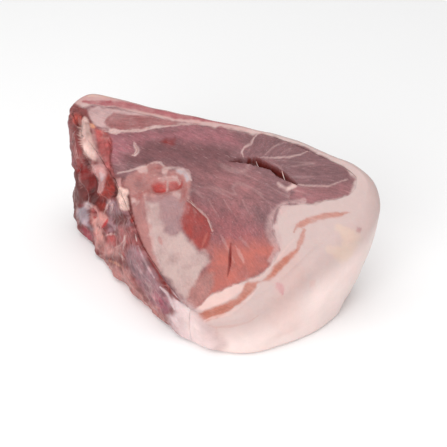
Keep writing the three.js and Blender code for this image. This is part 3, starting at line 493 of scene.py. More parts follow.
TORN_STROKES = [
    # Painted highlight: a pale lilac line down the left edge of the strip.
    ("lilac_skin_and_highlight", [(-120, 82.5), (-119.5, 68.5), (-118.5, 54.5), (-116, 47), (-113, 42)], 1, 0.6),
    ("blood", [(-112.5, 69.5), (-111.5, 58.5), (-108.5, 48.5), (-104.5, 42.5)], 0.9, 0.55),
    ("blood", [(-114.5, 68.5), (-113, 54.5), (-111.5, 47.5)], 0.6, 0.35),
    ("sinew", [(-116, 69.5), (-115, 58.5), (-113, 49)], 0.6, 0.25),
    # The dark strokes in the clefts, the crease, the cavity and the slot are painted shade with blood.
    ("deep_red_and_shade", [(-109, 83), (-109.5, 79.5), (-111.5, 75.5), (-112.5, 69.5), (-110.5, 62), (-107.5, 53),
      (-104, 46), (-102.5, 39.5)], 0.9, 0.8),
    ("blood", [(-110, 81.5), (-111.5, 79.5)], 1.2, 0.5),
    ("blood", [(-114.5, 41.5), (-110, 40.5), (-106.5, 39.5), (-104, 37.5)], 1.2, 0.7),
    ("flap_low", [(-111.5, 39), (-111, 33), (-109.5, 26.5)], 1, 0.6),
    ("magenta", [(-110, 13.5), (-109, 14.5)], 1.2, 0.5),
    ("salmon_lean", [(-98.5, 68.5), (-94, 66.5), (-89, 65.5)], 1, 0.5),
    ("salmon_lean", [(-98.5, 72), (-91.5, 70), (-87.5, 67)], 0.7, 0.5),
    ("blood", [(-93, 64), (-90.5, 57.5), (-87.5, 49.5)], 1, 0.45),
    ("deep_red_and_shade", [(-88.5, 64), (-86.5, 58.5), (-87, 51.5), (-86.5, 45), (-84.5, 39)], 0.8, 0.75),
    ("deep_red_and_shade", [(-84.5, 33.5), (-83, 29), (-82, 25), (-83, 21.5), (-85, 20.5)], 1.1, 0.85),
    ("deep_red_and_shade", [(-78, 35), (-78.5, 32.5), (-79, 30.5)], 0.6, 0.6),
    ("deep_red_and_shade", [(-99, 38), (-97, 33), (-98, 25.5), (-98.5, 22), (-94.5, 19)], 0.8, 0.7),
    ("gristle", [(-95.5, 39), (-93.5, 36.5), (-94, 33)], 1.6, 0.5),
    ("lump", [(-96.5, 23.5), (-94.5, 22), (-92.5, 22)], 1, 0.5),
    ("bright_blood", [(-100.5, 11), (-99, 8.5), (-99.5, 5)], 1.9, 0.9),
    ("bright_blood", [(-89.5, 3.5), (-90.5, 1), (-92.5, -1.5), (-94, -3.5)], 1.2, 0.9),
    ("deep_red_and_shade", [(-73.5, 21.5), (-72.5, 17.5), (-71.5, 12.5), (-71, 8.5), (-70, 5.5)], 1.1, 0.9),
    ("lobe", [(-70.5, 6.5), (-70, 4), (-71, 0.5)], 1.6, 0.8),
    ("deep_red_and_shade", [(-89.5, -7.5), (-86, -7.5)], 0.5, 0.8),
    ("deep_red_and_shade", [(-84.5, 2), (-83, -0.5)], 1.1, 0.6),
    ("deep_red_and_shade", [(-77, 6), (-73.5, 6)], 0.8, 0.5),
    ("sinew", [(-91, -9.5), (-89, -8.5), (-85.5, -8), (-83, -8.5)], 0.6, 0.8),
    ("sinew", [(-87.5, 7.5), (-87, 11.5), (-85.5, 15.5)], 0.8, 0.5),
    ("sinew", [(-92, 8.5), (-89.5, 14.5), (-87.5, 17.5)], 0.8, 0.6),
    ("sinew", [(-76.5, -8), (-76.5, -14), (-77.5, -20)], 0.8, 0.6),
    ("blood", [(-73.5, -10.5), (-74, -15.5), (-75.5, -21)], 0.8, 0.5),
    ("blood", [(-70.5, -9.5), (-71, -17.5)], 0.8, 0.5),
    ("sinew", [(-68, -8.5), (-67, -13.5)], 0.6, 0.6),
    ("sinew", [(-84, -18.5), (-80, -17), (-77, -13), (-75.5, -8.5)], 0.6, 0.5),
    ("sinew", [(-81, -22.5), (-79, -24.5), (-77, -28.5)], 0.5, 0.6),
    # Blood along the crevice beside the plate, with painted shade in the crevice.
    ("blood", [*CREVICE, (-27.5, -64.5)], 1.1, 0.85),
    ("blood", [(-66, -6.5), (-64.5, -11.5), (-62.5, -16.5)], 1.6, 0.4),
    ("deep_red_and_shade", [(-46, -48), (-44, -49.5)], 0.9, 0.6),
    # Painted highlight: pale lines over the silver skin of the slab, and along its raised strand, partly the
    # strand's own pale colour.
    ("pale_skin_and_highlight", [(-66, -17.5), (-62, -26.5), (-58.5, -33.5), (-53.5, -42)], 0.8, 0.4),
    ("pale_skin_and_highlight", SILVER_STRAND, 1.1, 0.85),
    ("pale_skin_and_highlight", [(-69, -28.5), (-66.5, -33.5), (-62, -39.5), (-57, -44.5)], 0.6, 0.3),
    ("dark_lean", [(-73.5, -32.5), (-69.5, -33.5)], 1, 0.4),
    ("dark_lean", [(-62, -31.5), (-60.5, -36), (-62, -41)], 0.8, 0.3),
    ("magenta", [(-66, -43.5), (-63.5, -46.5)], 1.2, 0.4),
    ("magenta", [(-53.5, -56), (-50, -60), (-45.5, -65.5)], 1.4, 0.4),
    ("amber", [(-88.5, -28.5), (-83, -30.5), (-77.5, -34.5)], 1, 0.4),
    ("amber", [(-53, -64), (-49, -65.5)], 0.9, 0.5),
]
# Finer folds of the torn side: path, half width, rise.
TORN_DETAILS = {
    "edge of the cleft": ([(-110.5, 76.5), (-112, 69.5), (-110.5, 62), (-107, 52.5), (-104, 45.5),
      (-101.5, 38.5)], 1.6, -4),
    "flap": ([(-106.5, 77), (-106, 68.5), (-103.5, 58.5), (-100, 48.5), (-96, 40.5), (-95, 38),
      (-93.5, 30.5), (-94.5, 25)], 3.2, 3.2),
    "crease": ([(-88, 64), (-86.5, 58.5), (-86.5, 50.5), (-86, 44), (-84.5, 39), (-84.5, 33.5),
      (-83, 28.5), (-82, 24.5), (-84, 21.5)], 1.3, -2.6),
    "cavity": ([(-101.5, 32.5), (-101.5, 23), (-97, 17), (-93, 12.5)], 3.8, -5),
    "lobe": ([(-88.5, 29), (-89.5, 23.5)], 3.6, 2.4),
    "lump left of the cavity": ([(-110, 35.5), (-109.5, 23)], 4.2, 1.6),
    "notch": ([(-116.5, 41.5), (-110, 40.5), (-105, 38)], 1.5, -2.2),
    "knob": ([(-108, 7.5), (-105.5, 2)], 3.6, 1.8),
    "groove beside the knob": ([(-103.5, 15.5), (-103, 7.5), (-103.5, 1)], 1, -1.2),
    "column": ([(-77.5, 25.5), (-77.5, 20.5), (-77.5, 14.5)], 2.6, 1.8),
    "slot": ([(-73, 21.5), (-72.5, 17.5), (-71.5, 12.5), (-71, 8.5), (-69.5, 4.5),
      (-69.5, 0.5)], 1.1, -2.2),
    "crevice": (CREVICE, 1, -1.2),
    "grey hollow": ([(-87, 5), (-80, 3), (-74.5, 2.5)], 2.2, -1.6),
    "slab": ([(-65, -26.5), (-56, -44.5), (-47.5, -59)], 5, 1.4),
    "seam under the slab": ([(-73.5, -37), (-66, -46.5), (-58.5, -55.5), (-50, -65)], 1.6, -1.1),
    "silver strand": (SILVER_STRAND, 1, 0.7),
    "red lump": ([(-113, 81.5), (-111, 82)], 2, 1.2),
}


# ---- Small numeric helpers ----
def smooth(value):
    """A soft step: 0 up to 0, 1 from 1 on."""
    share = np.clip(value, 0, 1)
    return share * share * (3 - 2 * share)


def noise(points, size, seed=0.0):
    """Smooth noise from -1 to 1 with lumps about `size` millimetres across (one size, or one per axis)."""
    at = points / np.asarray(size, float) + seed * 17.31
    cell = np.floor(at).astype(np.int64)
    share = at - cell
    share = share * share * (3 - 2 * share)
    total = np.zeros(len(points))
    for corner in np.ndindex(2, 2, 2):
        key = (cell + corner) @ np.array([73856093, 19349663, 83492791])
        key = (key ^ (key >> 13)) * 1274126177 & 0x7FFFFFFF
        key = (key ^ (key >> 15)) * 668265263 & 0x7FFFFFFF
        weight = np.prod(np.where(corner, share, 1 - share), axis=1)
        total += weight * (key / 0x3FFFFFFF - 1)
    return total


def rough(points, size, seed=0.0, octaves=3):
    """Noise with finer and finer lumps added."""
    return sum(noise(points, np.asarray(size, float) / 2**k, seed + k) / 2**k for k in range(octaves))


def path_distance(points, path):
    """Distance to a path, and how far along it the nearest point is, from 0 to 1."""
    path = np.asarray(path, float)
    least = np.full(len(points), np.inf)
    share = np.zeros(len(points))
    for i in range(len(path) - 1):
        way = path[i + 1] - path[i]
        t = np.clip((points - path[i]) @ way / (way @ way), 0, 1)
        gap = np.linalg.norm(points - path[i] - t[:, None] * way, axis=1)
        nearer = gap < least
        least = np.where(nearer, gap, least)
        share = np.where(nearer, (i + t) / (len(path) - 1), share)
    return least, share


def inside_distance(points, outline):
    """Distance to a closed outline, above 0 inside it."""
    outline = np.asarray(outline, float)
    least, _ = path_distance(points, np.vstack([outline, outline[:1]]))
    x, y = points.T
    inside = np.zeros(len(points), bool)
    for (ax, ay), (bx, by) in zip(outline, np.roll(outline, -1, axis=0)):
        crosses = (ay > y) != (by > y)
        inside ^= crosses & (x < ax + (y - ay) / (by - ay if by != ay else 1) * (bx - ax))
    return np.where(inside, least, -least)


def spline(rows, places):
    """Values of a closed Catmull-Rom curve through the rows, at places given as row numbers."""
    whole = np.floor(places).astype(int)
    share = (places - whole)[:, None]
    before, start, end, after = (rows[(whole + k) % len(rows)] for k in (-1, 0, 1, 2))
    leave, arrive = (end - before) / 2, (after - start) / 2
    bend = 3 * (end - start) - 2 * leave - arrive
    twist = 2 * (start - end) + leave + arrive
    return start + share * (leave + share * (bend + share * twist))


def evened(rows, passes):
    """Rows of a closed ring, each averaged with its neighbours again and again."""
    for _ in range(passes):
        rows = (np.roll(rows, 1, axis=0) + rows + np.roll(rows, -1, axis=0)) / 3
    return rows


def unit(vectors):
    """The same directions with a length of 1."""
    return vectors / np.linalg.norm(vectors, axis=-1, keepdims=True)


def fold(gap, rise):
    """Height of a fold at a distance from its path, in half widths."""
    return np.where(gap < FOLD_REACH, rise * np.exp(-(gap**2)), 0)


def cut_gap(plan, path, halves):
    """Distance to an open cut's path, how far along it the nearest point is, and half its width there."""
    gap, share = path_distance(plan, path)
    return gap, share, np.interp(share, np.linspace(0, 1, len(halves)), halves)


def seen(points):
    """Places as the camera sees them: millimetres right and up on the plane through what it aims at."""
    down = math.radians(VIEW_DOWN)
    x, y, z = (points - VIEW_AIM).T
    depth = VIEW_REACH + y * math.cos(down) - z * math.sin(down)
    up = y * math.sin(down) + z * math.cos(down)
    return np.column_stack([x, up]) * (VIEW_REACH / depth)[:, None]


ALONG = unit(TORN_END - TORN_START)
INWARD = np.array([-ALONG[1], ALONG[0]])


class Joint:
    """The joint's surfaces, worked out from its sizes, in millimetres."""

    def __init__(self, sizes):
        self.sizes = sizes
        self.face_normal = unit(np.array([-sizes.rise_right, -sizes.rise_back, 1]))
        self.make_outline()
        self.folds = [(self.on_face(np.array(p, float)), h, r) for p, h, r in FACE_FOLDS.values()]
        self.folds += [(self.torn_path(p), h, r) for p, h, r in TORN_FOLDS.values()]

    def mm(self, name):
        """One of the sizes, in millimetres."""
        return getattr(self.sizes, name) / MM

    def height(self, plan):
        """Height of the plain cut face over places in plan."""
        return self.mm("face_height") + plan @ np.array([self.sizes.rise_right, self.sizes.rise_back])

    def on_face(self, plan):
        """Points of the plain cut face over places in plan."""
        return np.column_stack([plan, self.height(plan)])

    def make_outline(self):
        """Samples round the outline: coarse ones as in the solids, then finer ones between them."""
        inward = INWARD * self.mm("crest_on_lean")
        bare = [(x, y, *(np.array([x, y]) + inward), foot, 0) for x, y, foot in TORN_SIDE]
        rows = np.array(FAT_SIDE + bare, float)
        count, last_fat = len(rows), len(FAT_SIDE) - 1
        places, finer = [], []
        for i in range(count):
            here, there = rows[i], rows[(i + 1) % count]
            torn = i >= last_fat
            at_back = here[1] + there[1] > 2 * FRONT_EDGE
            step = STEP_TORN if torn else STEP_BACK if at_back else STEP_FRONT
            parts = math.ceil(np.hypot(*(there - here)[:2]) / step)
            places += [i + k / parts for k in range(parts)]
            finer += [TORN_PARTS if torn else FAT_PARTS] * parts
        coarse = spline(rows, np.array(places))
        rim, lean = coarse[:, :2], coarse[:, 2:4]
        fat_count = sum(place <= last_fat for place in places)
        fat = np.arange(len(places)) < fat_count
        width = np.linalg.norm(rim - lean, axis=1)
        across = np.roll(rim, -TURN_REACH, axis=0) - np.roll(rim, TURN_REACH, axis=0)
        out = unit(unit(np.column_stack([across[:, 1], -across[:, 0]])) + self.away_from_spines(rim))
        on_lean = self.mm("crest_on_lean")
        least = np.minimum(on_lean, CREST_LIMIT * width)
        crest = np.clip(CREST_SHARE * width, least, self.mm("crest_on_fat"))
        ways = np.column_stack([out, np.where(fat, crest, on_lean)])
        near, far = evened(ways, SMOOTHING_PASSES), evened(ways, DRAWING_PASSES)
        reach = np.concatenate([[0], np.cumsum(np.linalg.norm(np.diff(rim[fat], axis=0), axis=1))])
        from_end = np.minimum(reach, reach[-1] - reach)
        under = np.full(len(places), self.mm("fat_edge"))
        thick = self.mm("fat_under") - self.mm("fat_edge")
        under[fat] += thick * smooth(from_end / self.mm("fat_fade"))
        self.bare_coarse = self.sampled(coarse, near, far, under, ~fat)
        # The finer samples.
        ends = np.append(places[1:], count)
        fine_places = np.concatenate([p + (q - p) * np.arange(n) / n for p, q, n in zip(places, ends, finer)])
        fine_at = np.concatenate([i + np.arange(n) / n for i, n in enumerate(finer)])
        made = [spline(rows, fine_places)] + [spline(v, fine_at) for v in (near, far)]
        under = np.interp(fine_at, np.arange(len(under)), under)
        self.fat = fine_at <= fat_count - 1 + 1e-9
        self.samples = self.sampled(*made, under, slice(None))

    @staticmethod
    def sampled(rows, near, far, under, chosen):
        """What the walls need at each of the chosen samples."""
        return {
            "rim": rows[chosen, :2],
            "lean": rows[chosen, 2:4],
            "foot": rows[chosen, 4],
            "swell": rows[chosen, 5],
            "out": unit(near[chosen, :2]),
            "crest": near[chosen, 2],
            "draw": unit(far[chosen, :2]),
            "under": under[chosen],
        }

    @staticmethod
    def away_from_spines(rim):
        """Directions in plan from the nearest line inside the joint to each place."""
        best, gap = np.zeros_like(rim), np.full(len(rim), np.inf)
        for start, end in np.array(SPINES, float):
            way = end - start
            t = np.clip((rim - start) @ way / (way @ way), 0, 1)
            from_line = rim - start - t[:, None] * way
            reach = np.linalg.norm(from_line, axis=1)
            best = np.where((reach < gap)[:, None], from_line, best)
            gap = np.minimum(reach, gap)
        return unit(best)

    def outer_wall(self, s, depth):
        """Points of the outer wall, the ways that relief pushes them, and how freely it may."""
        crest, foot = s["crest"], self.mm("foot")
        top = self.height(s["rim"] - s["out"] * crest[:, None])
        z = top * (1 - depth)
        below_top = np.minimum((top - z) / crest, 1)
        above_foot = np.minimum(z / foot, 1)

        def rounding(share):
            return 1 - np.sqrt(1 - (1 - share) ** 2)

        offset = s["swell"] * np.sin(np.pi * np.asarray(depth) ** SWELL_POWER)
        offset = offset - crest * rounding(below_top) - foot * rounding(above_foot)
        plan = s["rim"] + s["out"] * offset[:, None] + s["draw"] * (s["foot"] * depth)[:, None]
        side = np.column_stack([s["out"], np.zeros(len(plan))])
        tilt = below_top[:, None]
        push = unit(self.face_normal * (1 - tilt) + side * tilt)
        return np.column_stack([plan, z]), push, np.minimum(above_foot * GRIP, 1)

    def torn_path(self, path):
        """Places on the torn wall, from how far along it and how high each one is."""
        s = self.bare_coarse
        reach = (s["rim"] - TORN_START) @ ALONG
        made = []
        for along, height in path:
            nearest = [int(np.argmin(abs(reach - along)))]
            one = {name: values[nearest] for name, values in s.items()}
            depth = np.maximum(1 - height / self.height(one["rim"]), 0)
            made.append(self.outer_wall(one, depth)[0][0])
        return np.array(made)

    def torn_share(self, points):
        """1 at the line of the torn wall, and 0 well inside it."""
        return 1 - smooth(((points[:, :2] - TORN_START) @ INWARD - TORN_WIDTH) / TORN_FADE)

    def relief(self, points, plain):
        """Height of the broad unevenness and the large folds, as in the solids.

        Here the narrow folds also get uneven edges.
        """
        x, y, z = points.T
        a = np.sin(x / 6.1 + 1.3 * np.sin(z / 9.7)) * np.sin(y / 7.3 + 0.9 * np.sin(x / 11.3))
        b = np.sin(z / 5.2 + 1.1 * np.sin(y / 8.9)) * np.sin(x / 13.1 - y / 10.7)
        torn = self.torn_share(points)
        rise = (0.6 * a + 0.4 * b) * (plain + (LUMPS_ON_TORN - plain) * torn)
        for path, half, height in self.folds:
            narrow = half < 8
            wobble = 0.18 * noise(points, 5.0, half) if narrow else 0
            gap = path_distance(points, path)[0] / (half * (1 + wobble))
            rise += fold(gap, height)
        return rise

    def torn_amount(self, points, zone):
        """How much a point belongs to the torn side, from 0 to 1."""
        edge = inside_distance(seen(points), TORN_OUTLINE) + 0.6 * noise(points, 4.0, 31)
        inside = smooth(0.5 + edge / (3 + 10 * calm_share(torn_reach(points)[0])))
        on_fat = inside * self.torn_share(points)
        kinds = [zone == kind for kind in (FACE, TORN, SIDE)]
        return np.select(kinds, [inside, np.ones(len(points)), on_fat], 0)

    def fine(self, points, zone):
        """Fine relief: fibres on the cut face, ragged tissue on the torn side, soft dimples in the fat."""
        torn = self.torn_amount(points, zone)
        view = seen(points)
        face = face_grain(points)
        fibres = noise(face, (9, 1.7, 3), 3) + 0.5 * noise(face, (4, 0.9, 2), 5)
        lumps = rough(points, 6.5, 12, 3) * smooth(0.5 + inside_distance(points[:, :2], ARCH) / 8)
        reach = torn_reach(points)[0]
        ridges = (noise(wall_grain(points, turn), (16, 3.4, 5), 8) for turn in (FLAP_GRAIN, SLAB_GRAIN))
        flap, slab = (1 - 2 * abs(ridge) for ridge in ridges)
        strands = flap + (slab - flap) * smooth((reach - FLAP_END + 8) / 16)
        ragged = rough(points, 7.5, 2, 4) + 0.6 * strands
        dimples = rough(points, 15, 6, 2) + 0.25 * noise(points, 3.5, 9)
        folds = np.zeros(len(points))
        for path, half, rise in TORN_DETAILS.values():
            folds += fold(path_distance(view, path)[0] / half, rise)
        on_face = self.mm("fibre_relief") * fibres + self.mm("arch_relief") * lumps
        return (
            torn * (folds + self.mm("torn_relief") * ragged * smooth((RAGGED_END - reach) / 50))
            + (1 - torn) * (zone == FACE) * on_face
            + (1 - torn) * (zone == SIDE) * self.mm("fat_relief") * dimples
        )

    def raised(self, points, push, grip, plain, zone):
        """Points pushed out by the relief of the solids, and from there by the fine relief."""
        moved = points + push * (self.relief(points, plain) * grip)[:, None]
        moved += push * (self.fine(moved, np.full(len(points), zone)) * grip)[:, None]
        moved[:, 2] = np.maximum(moved[:, 2], 0)
        return moved

    def raised_face(self, plan, plain, zone=FACE):
        """Points of the cut face over places in plan, with its relief and its open cuts."""
        points = self.on_face(plan)
        moved = self.raised(points, self.face_normal, np.ones(len(points)), plain, zone)
        for path, halves, depth in SLITS:
            # A cut has an uneven edge, shallow ends and a low lip beside it.
            gap, share, half = cut_gap(plan, path, halves)
            half = half * (1 + 0.2 * noise(points, 3.4, 4) + 0.2 * noise(points, 1.4, 5)) + 0.2
            belly = np.sin(np.pi * np.clip(share, 0.02, 0.98)) ** 0.5
            across = gap / half
            moved[:, 2] -= depth * belly * smooth((1 - across) * 2.6)
            moved[:, 2] += 0.12 * half * np.exp(-(((across - 1.2) / 0.3) ** 2)) * belly
        return moved

    def inner_wall(self, s, depth):
        """Points between the lean and the cap of fat, at one share of the depth."""
        outer = self.outer_wall(s, depth)[0]
        under = outer[:, :2] - s["draw"] * s["under"][:, None]
        plan = s["lean"] + (under - s["lean"]) * smooth(depth / FAT_TURN)
        top = self.raised_face(s["lean"], LUMPS_ON_FACE)[:, 2]
        return np.column_stack([plan, top * (1 - depth)])


# ---- Places in the frames of the fibres ----
def turned(across, up, degrees):
    """Two coordinates in a frame that is turned by an angle."""
    turn = np.radians(degrees)
    return across * np.cos(turn) + up * np.sin(turn), up * np.cos(turn) - across * np.sin(turn)


def torn_reach(points):
    """Distance along the line of the torn wall, and inwards from it."""
    return tuple((points[:, :2] - TORN_START) @ way for way in (ALONG, INWARD))


def calm_share(reach):
    """0 on the ragged part of the torn wall, 1 on its calm front end."""
    return smooth((reach - CALM_FROM) / 30)


def wall_grain(points, degrees):
    """Places along the fibres of the torn wall, across them and into the meat."""
    along, into = torn_reach(points)
    return np.column_stack([*turned(along, points[:, 2], degrees), into])


def face_grain(points):
    """Places in each muscle's own frame: along its fibres, across them and into the meat."""
    angle = np.full(len(points), float(MAIN_GRAIN))
    for degrees, outline in GRAINS:
        angle = np.where(inside_distance(points[:, :2], outline) > 0, degrees, angle)
    return np.column_stack([*turned(points[:, 0], points[:, 1], angle), points[:, 2]])


def grain_of(points, torn):
    """Places along and across the fibres, in the frame of the tissue that each point belongs to."""
    upright = (torn_reach(points)[0] < FLAP_END)[:, None]
    on_wall = np.where(upright, wall_grain(points, FLAP_GRAIN), wall_grain(points, SLAB_GRAIN))
    return np.where((torn > 0.5)[:, None], on_wall, face_grain(points))


# ---- Painting the tissues ----
class Paint:
    """Colour and fattiness of every point, laid on in patches and strokes with ragged edges."""

    def __init__(self, colours, points, start):
        self.colours = colours
        self.tone = np.tile(np.array(getattr(colours, start)), (len(points), 1))
        self.fat = np.full(len(points), float(FATTY.get(start, 0)))
        self.ragged = 1.3 * noise(points, 6.0, 1) + 0.7 * noise(points, 2.4, 2)
        self.fine = noise(points, 1.5, 3)
        self.cover = np.clip(0.92 + 0.25 * rough(points, 9, 33, 3), 0, 1)

    def lay(self, colour, share):
        """Mixes in a colour, by a share for each point."""
        share = np.clip(share, 0, 1)
        self.tone += (np.array(getattr(self.colours, colour)) - self.tone) * share[:, None]
        self.fat += (FATTY.get(colour, 0) - self.fat) * share

    def shade(self, amount):
        """Makes each point lighter, or darker where the amount is below 0."""
        self.tone *= (1 + amount)[:, None]

    def patch(self, colour, place, outline, softness, where):
        """Fills an outline with a colour."""
        if np.any(where > 0):
            depth = inside_distance(place, outline) + self.ragged * min(0.3 + 0.3 * softness, 2.2)
            self.lay(colour, smooth(0.5 + depth / (1.4 * softness + 0.8)) * self.cover * where)

    def stroke(self, colour, place, path, half, strength, where):
        """Draws a colour along a path, thinner towards its ends."""
        if np.any(where > 0):
            gap, share = path_distance(place, path)
            taper = np.sqrt(np.sin(np.pi * np.clip(share, 0.06, 0.94)))
            gap = gap + 0.2 * min(half, 2) * self.fine + 0.25 * min(half, 2) * self.ragged
            self.lay(colour, strength * smooth(1.5 - gap / (half * taper)) * self.cover**2 * where)


def painted(joint, colours, points, zone, torn):
    """Tone and fattiness from the place of each point, its zone and how torn it is."""
    plan, view = points[:, :2], seen(points)
    below = joint.height(plan) - points[:, 2]
    face, side, base = ((zone == kind) * 1.0 for kind in (FACE, SIDE, BASE))
    # What is painted in plan runs this far down the rounded edge, less far at the back.
    reach_down = np.where(plan[:, 1] > 0, 13, 20)
    near_face = face + side * smooth((reach_down - below) / 8)
    paint = Paint(colours, points, "fat_side")
    # The fat: duller where it is cut; painted shade darkens the top of its rounded edge, its right end
    # and the lowest 40 mm of its side; it has a soft blush, faint creases of painted shade and streaks of
    # lean.
    # The cut fat's own tone on the face; down to 28 mm below the cut on the side, partly that tone and partly
    # painted shade over the top of the rounded edge.
    paint.lay("cut_fat_and_shade", face + side * 0.85 * smooth((28 - below) / 28))
    # Painted shade where the side of the fat turns away towards its right end.
    paint.lay("cut_fat_and_shade", side * 0.18 * smooth((plan[:, 0] - 60) / 60))
    # Painted shade: the side of the fat is darker within 40 mm of the base.
    paint.shade(-0.08 * side * smooth(1 - points[:, 2] / 40))
    paint.lay("fat_blush", side * 0.22 * smooth(rough(points, 26, 14, 2)))
    # Faint creases of painted shade down the side of the fat.
    crease_shade = smooth(1 - 14 * abs(noise(points, (44, 44, 26), 51))) * smooth(2 * noise(points, 50, 52))
    paint.lay("fold_shade_and_dried_fat", 0.2 * side * crease_shade)
    for colour, outline, softness in FAT_PATCHES:
        paint.patch(colour, plan, outline, softness, near_face)
    for colour, path, half, strength in FAT_STROKES:
        paint.stroke(colour, plan, path, half, strength, near_face)
    for colour, path, half, strength in SIDE_MARKS:
        paint.stroke(colour, points, path, half, strength, side)
    # The cut face. Its lean reaches a little past the edge of the torn wall.
    lean_edge = [(row[2], row[3]) for row in FAT_SIDE] + [(x - 4, y - 2.5) for x, y, _ in TORN_SIDE]
    lean = near_face * smooth(0.5 + (inside_distance(plan, lean_edge) + 0.9 * paint.ragged) / 2.6)
    paint.lay("lean", lean)
    for colour, outline, softness in FACE_PATCHES:
        paint.patch(colour, plan, outline, softness, lean)
    for colour, path, half, strength in FACE_STROKES:
        paint.stroke(colour, plan, path, half, strength, face)
    # The tissue round the arch is lumpy, whitish in places and red in others.
    arch = face * (1 - torn) * smooth(0.5 + inside_distance(plan, ARCH) / 5)
    arch *= smooth(path_distance(plan, FACE_FOLDS["bloody window"][0])[0] / 2.5 - 1)
    paint.lay("sinew", 0.6 * arch * smooth(2 * rough(points, 9, 61, 3)))
    paint.lay("fresh_lean", 0.35 * arch * smooth(2 * rough(points, 7, 62, 3) - 0.3))
    # Streaks along the muscle, and thin lines of marbling.
    grain = face_grain(points)
    muscle = face * (1 - torn) * (1 - paint.fat)
    streaks = 0.6 * noise(grain, (34, 5.5, 9), 15) + 0.4 * noise(grain, (14, 2.2, 5), 16)
    paint.shade(0.2 * streaks * muscle)
    marbling = smooth(1 - 8 * abs(noise(grain, (30, 5, 9), 17))) * smooth(2.2 * noise(points, 24, 18))
    paint.lay("sinew", 0.16 * marbling * muscle)
    # The torn side.
    paint.lay("membrane", torn)
    reach = torn_reach(points)[0]
    for colour, outline, softness in TORN_PATCHES:
        paint.patch(colour, view, outline, softness, torn)
    for colour, path, half, strength in TORN_STROKES:
        paint.stroke(colour, view, path, half, strength, torn)
    paint.lay("fat_side", 0.5 * torn * smooth((reach - FAT_FROM) / 28))
    # It is mottled, with webs of pale threads and specks of blood.
    webs = sum(smooth(1 - 5 * abs(noise(points, size, 21))) for size in (8, 4.5))
    webs *= smooth(0.35 + 1.6 * noise(points, 19, 22))
    lively = 1 - 0.85 * calm_share(reach)
    paint.lay("sinew", 0.34 * webs * torn * lively * (0.3 + 0.7 * paint.fat))
    specks = smooth((noise(points, 3.6, 23) - 0.42) / 0.2) * smooth(0.2 + 2 * noise(points, 21, 24))
    paint.lay("blood", 0.55 * specks * torn * (1 - 0.8 * paint.fat) * smooth((SPECKS_END - reach) / 40))
    paint.shade(0.32 * torn * lively * rough(points, 5, 25, 3))
    # Deep places are dark: the open cut with dark red and painted shade inside it, the nick with blood.
    for colour, (path, halves, _) in zip(("slit", "blood"), SLITS):
        gap, _, half = cut_gap(plan, path, halves)
        paint.lay(colour, face * smooth((half + 0.5 - gap) / 1.4))
    # The base is a second cut: lean inside the cap of fat. Every twelfth sample gives its outline.
    paint.lay("cut_fat_and_shade", base)
    under = joint.inner_wall(joint.samples, 1.0)[::12, :2]
    inner = inside_distance(plan, under) + 1.5 * paint.ragged
    paint.lay("lean", base * smooth(0.5 + (inner - 2) / 3))
    return paint.tone, paint.fat


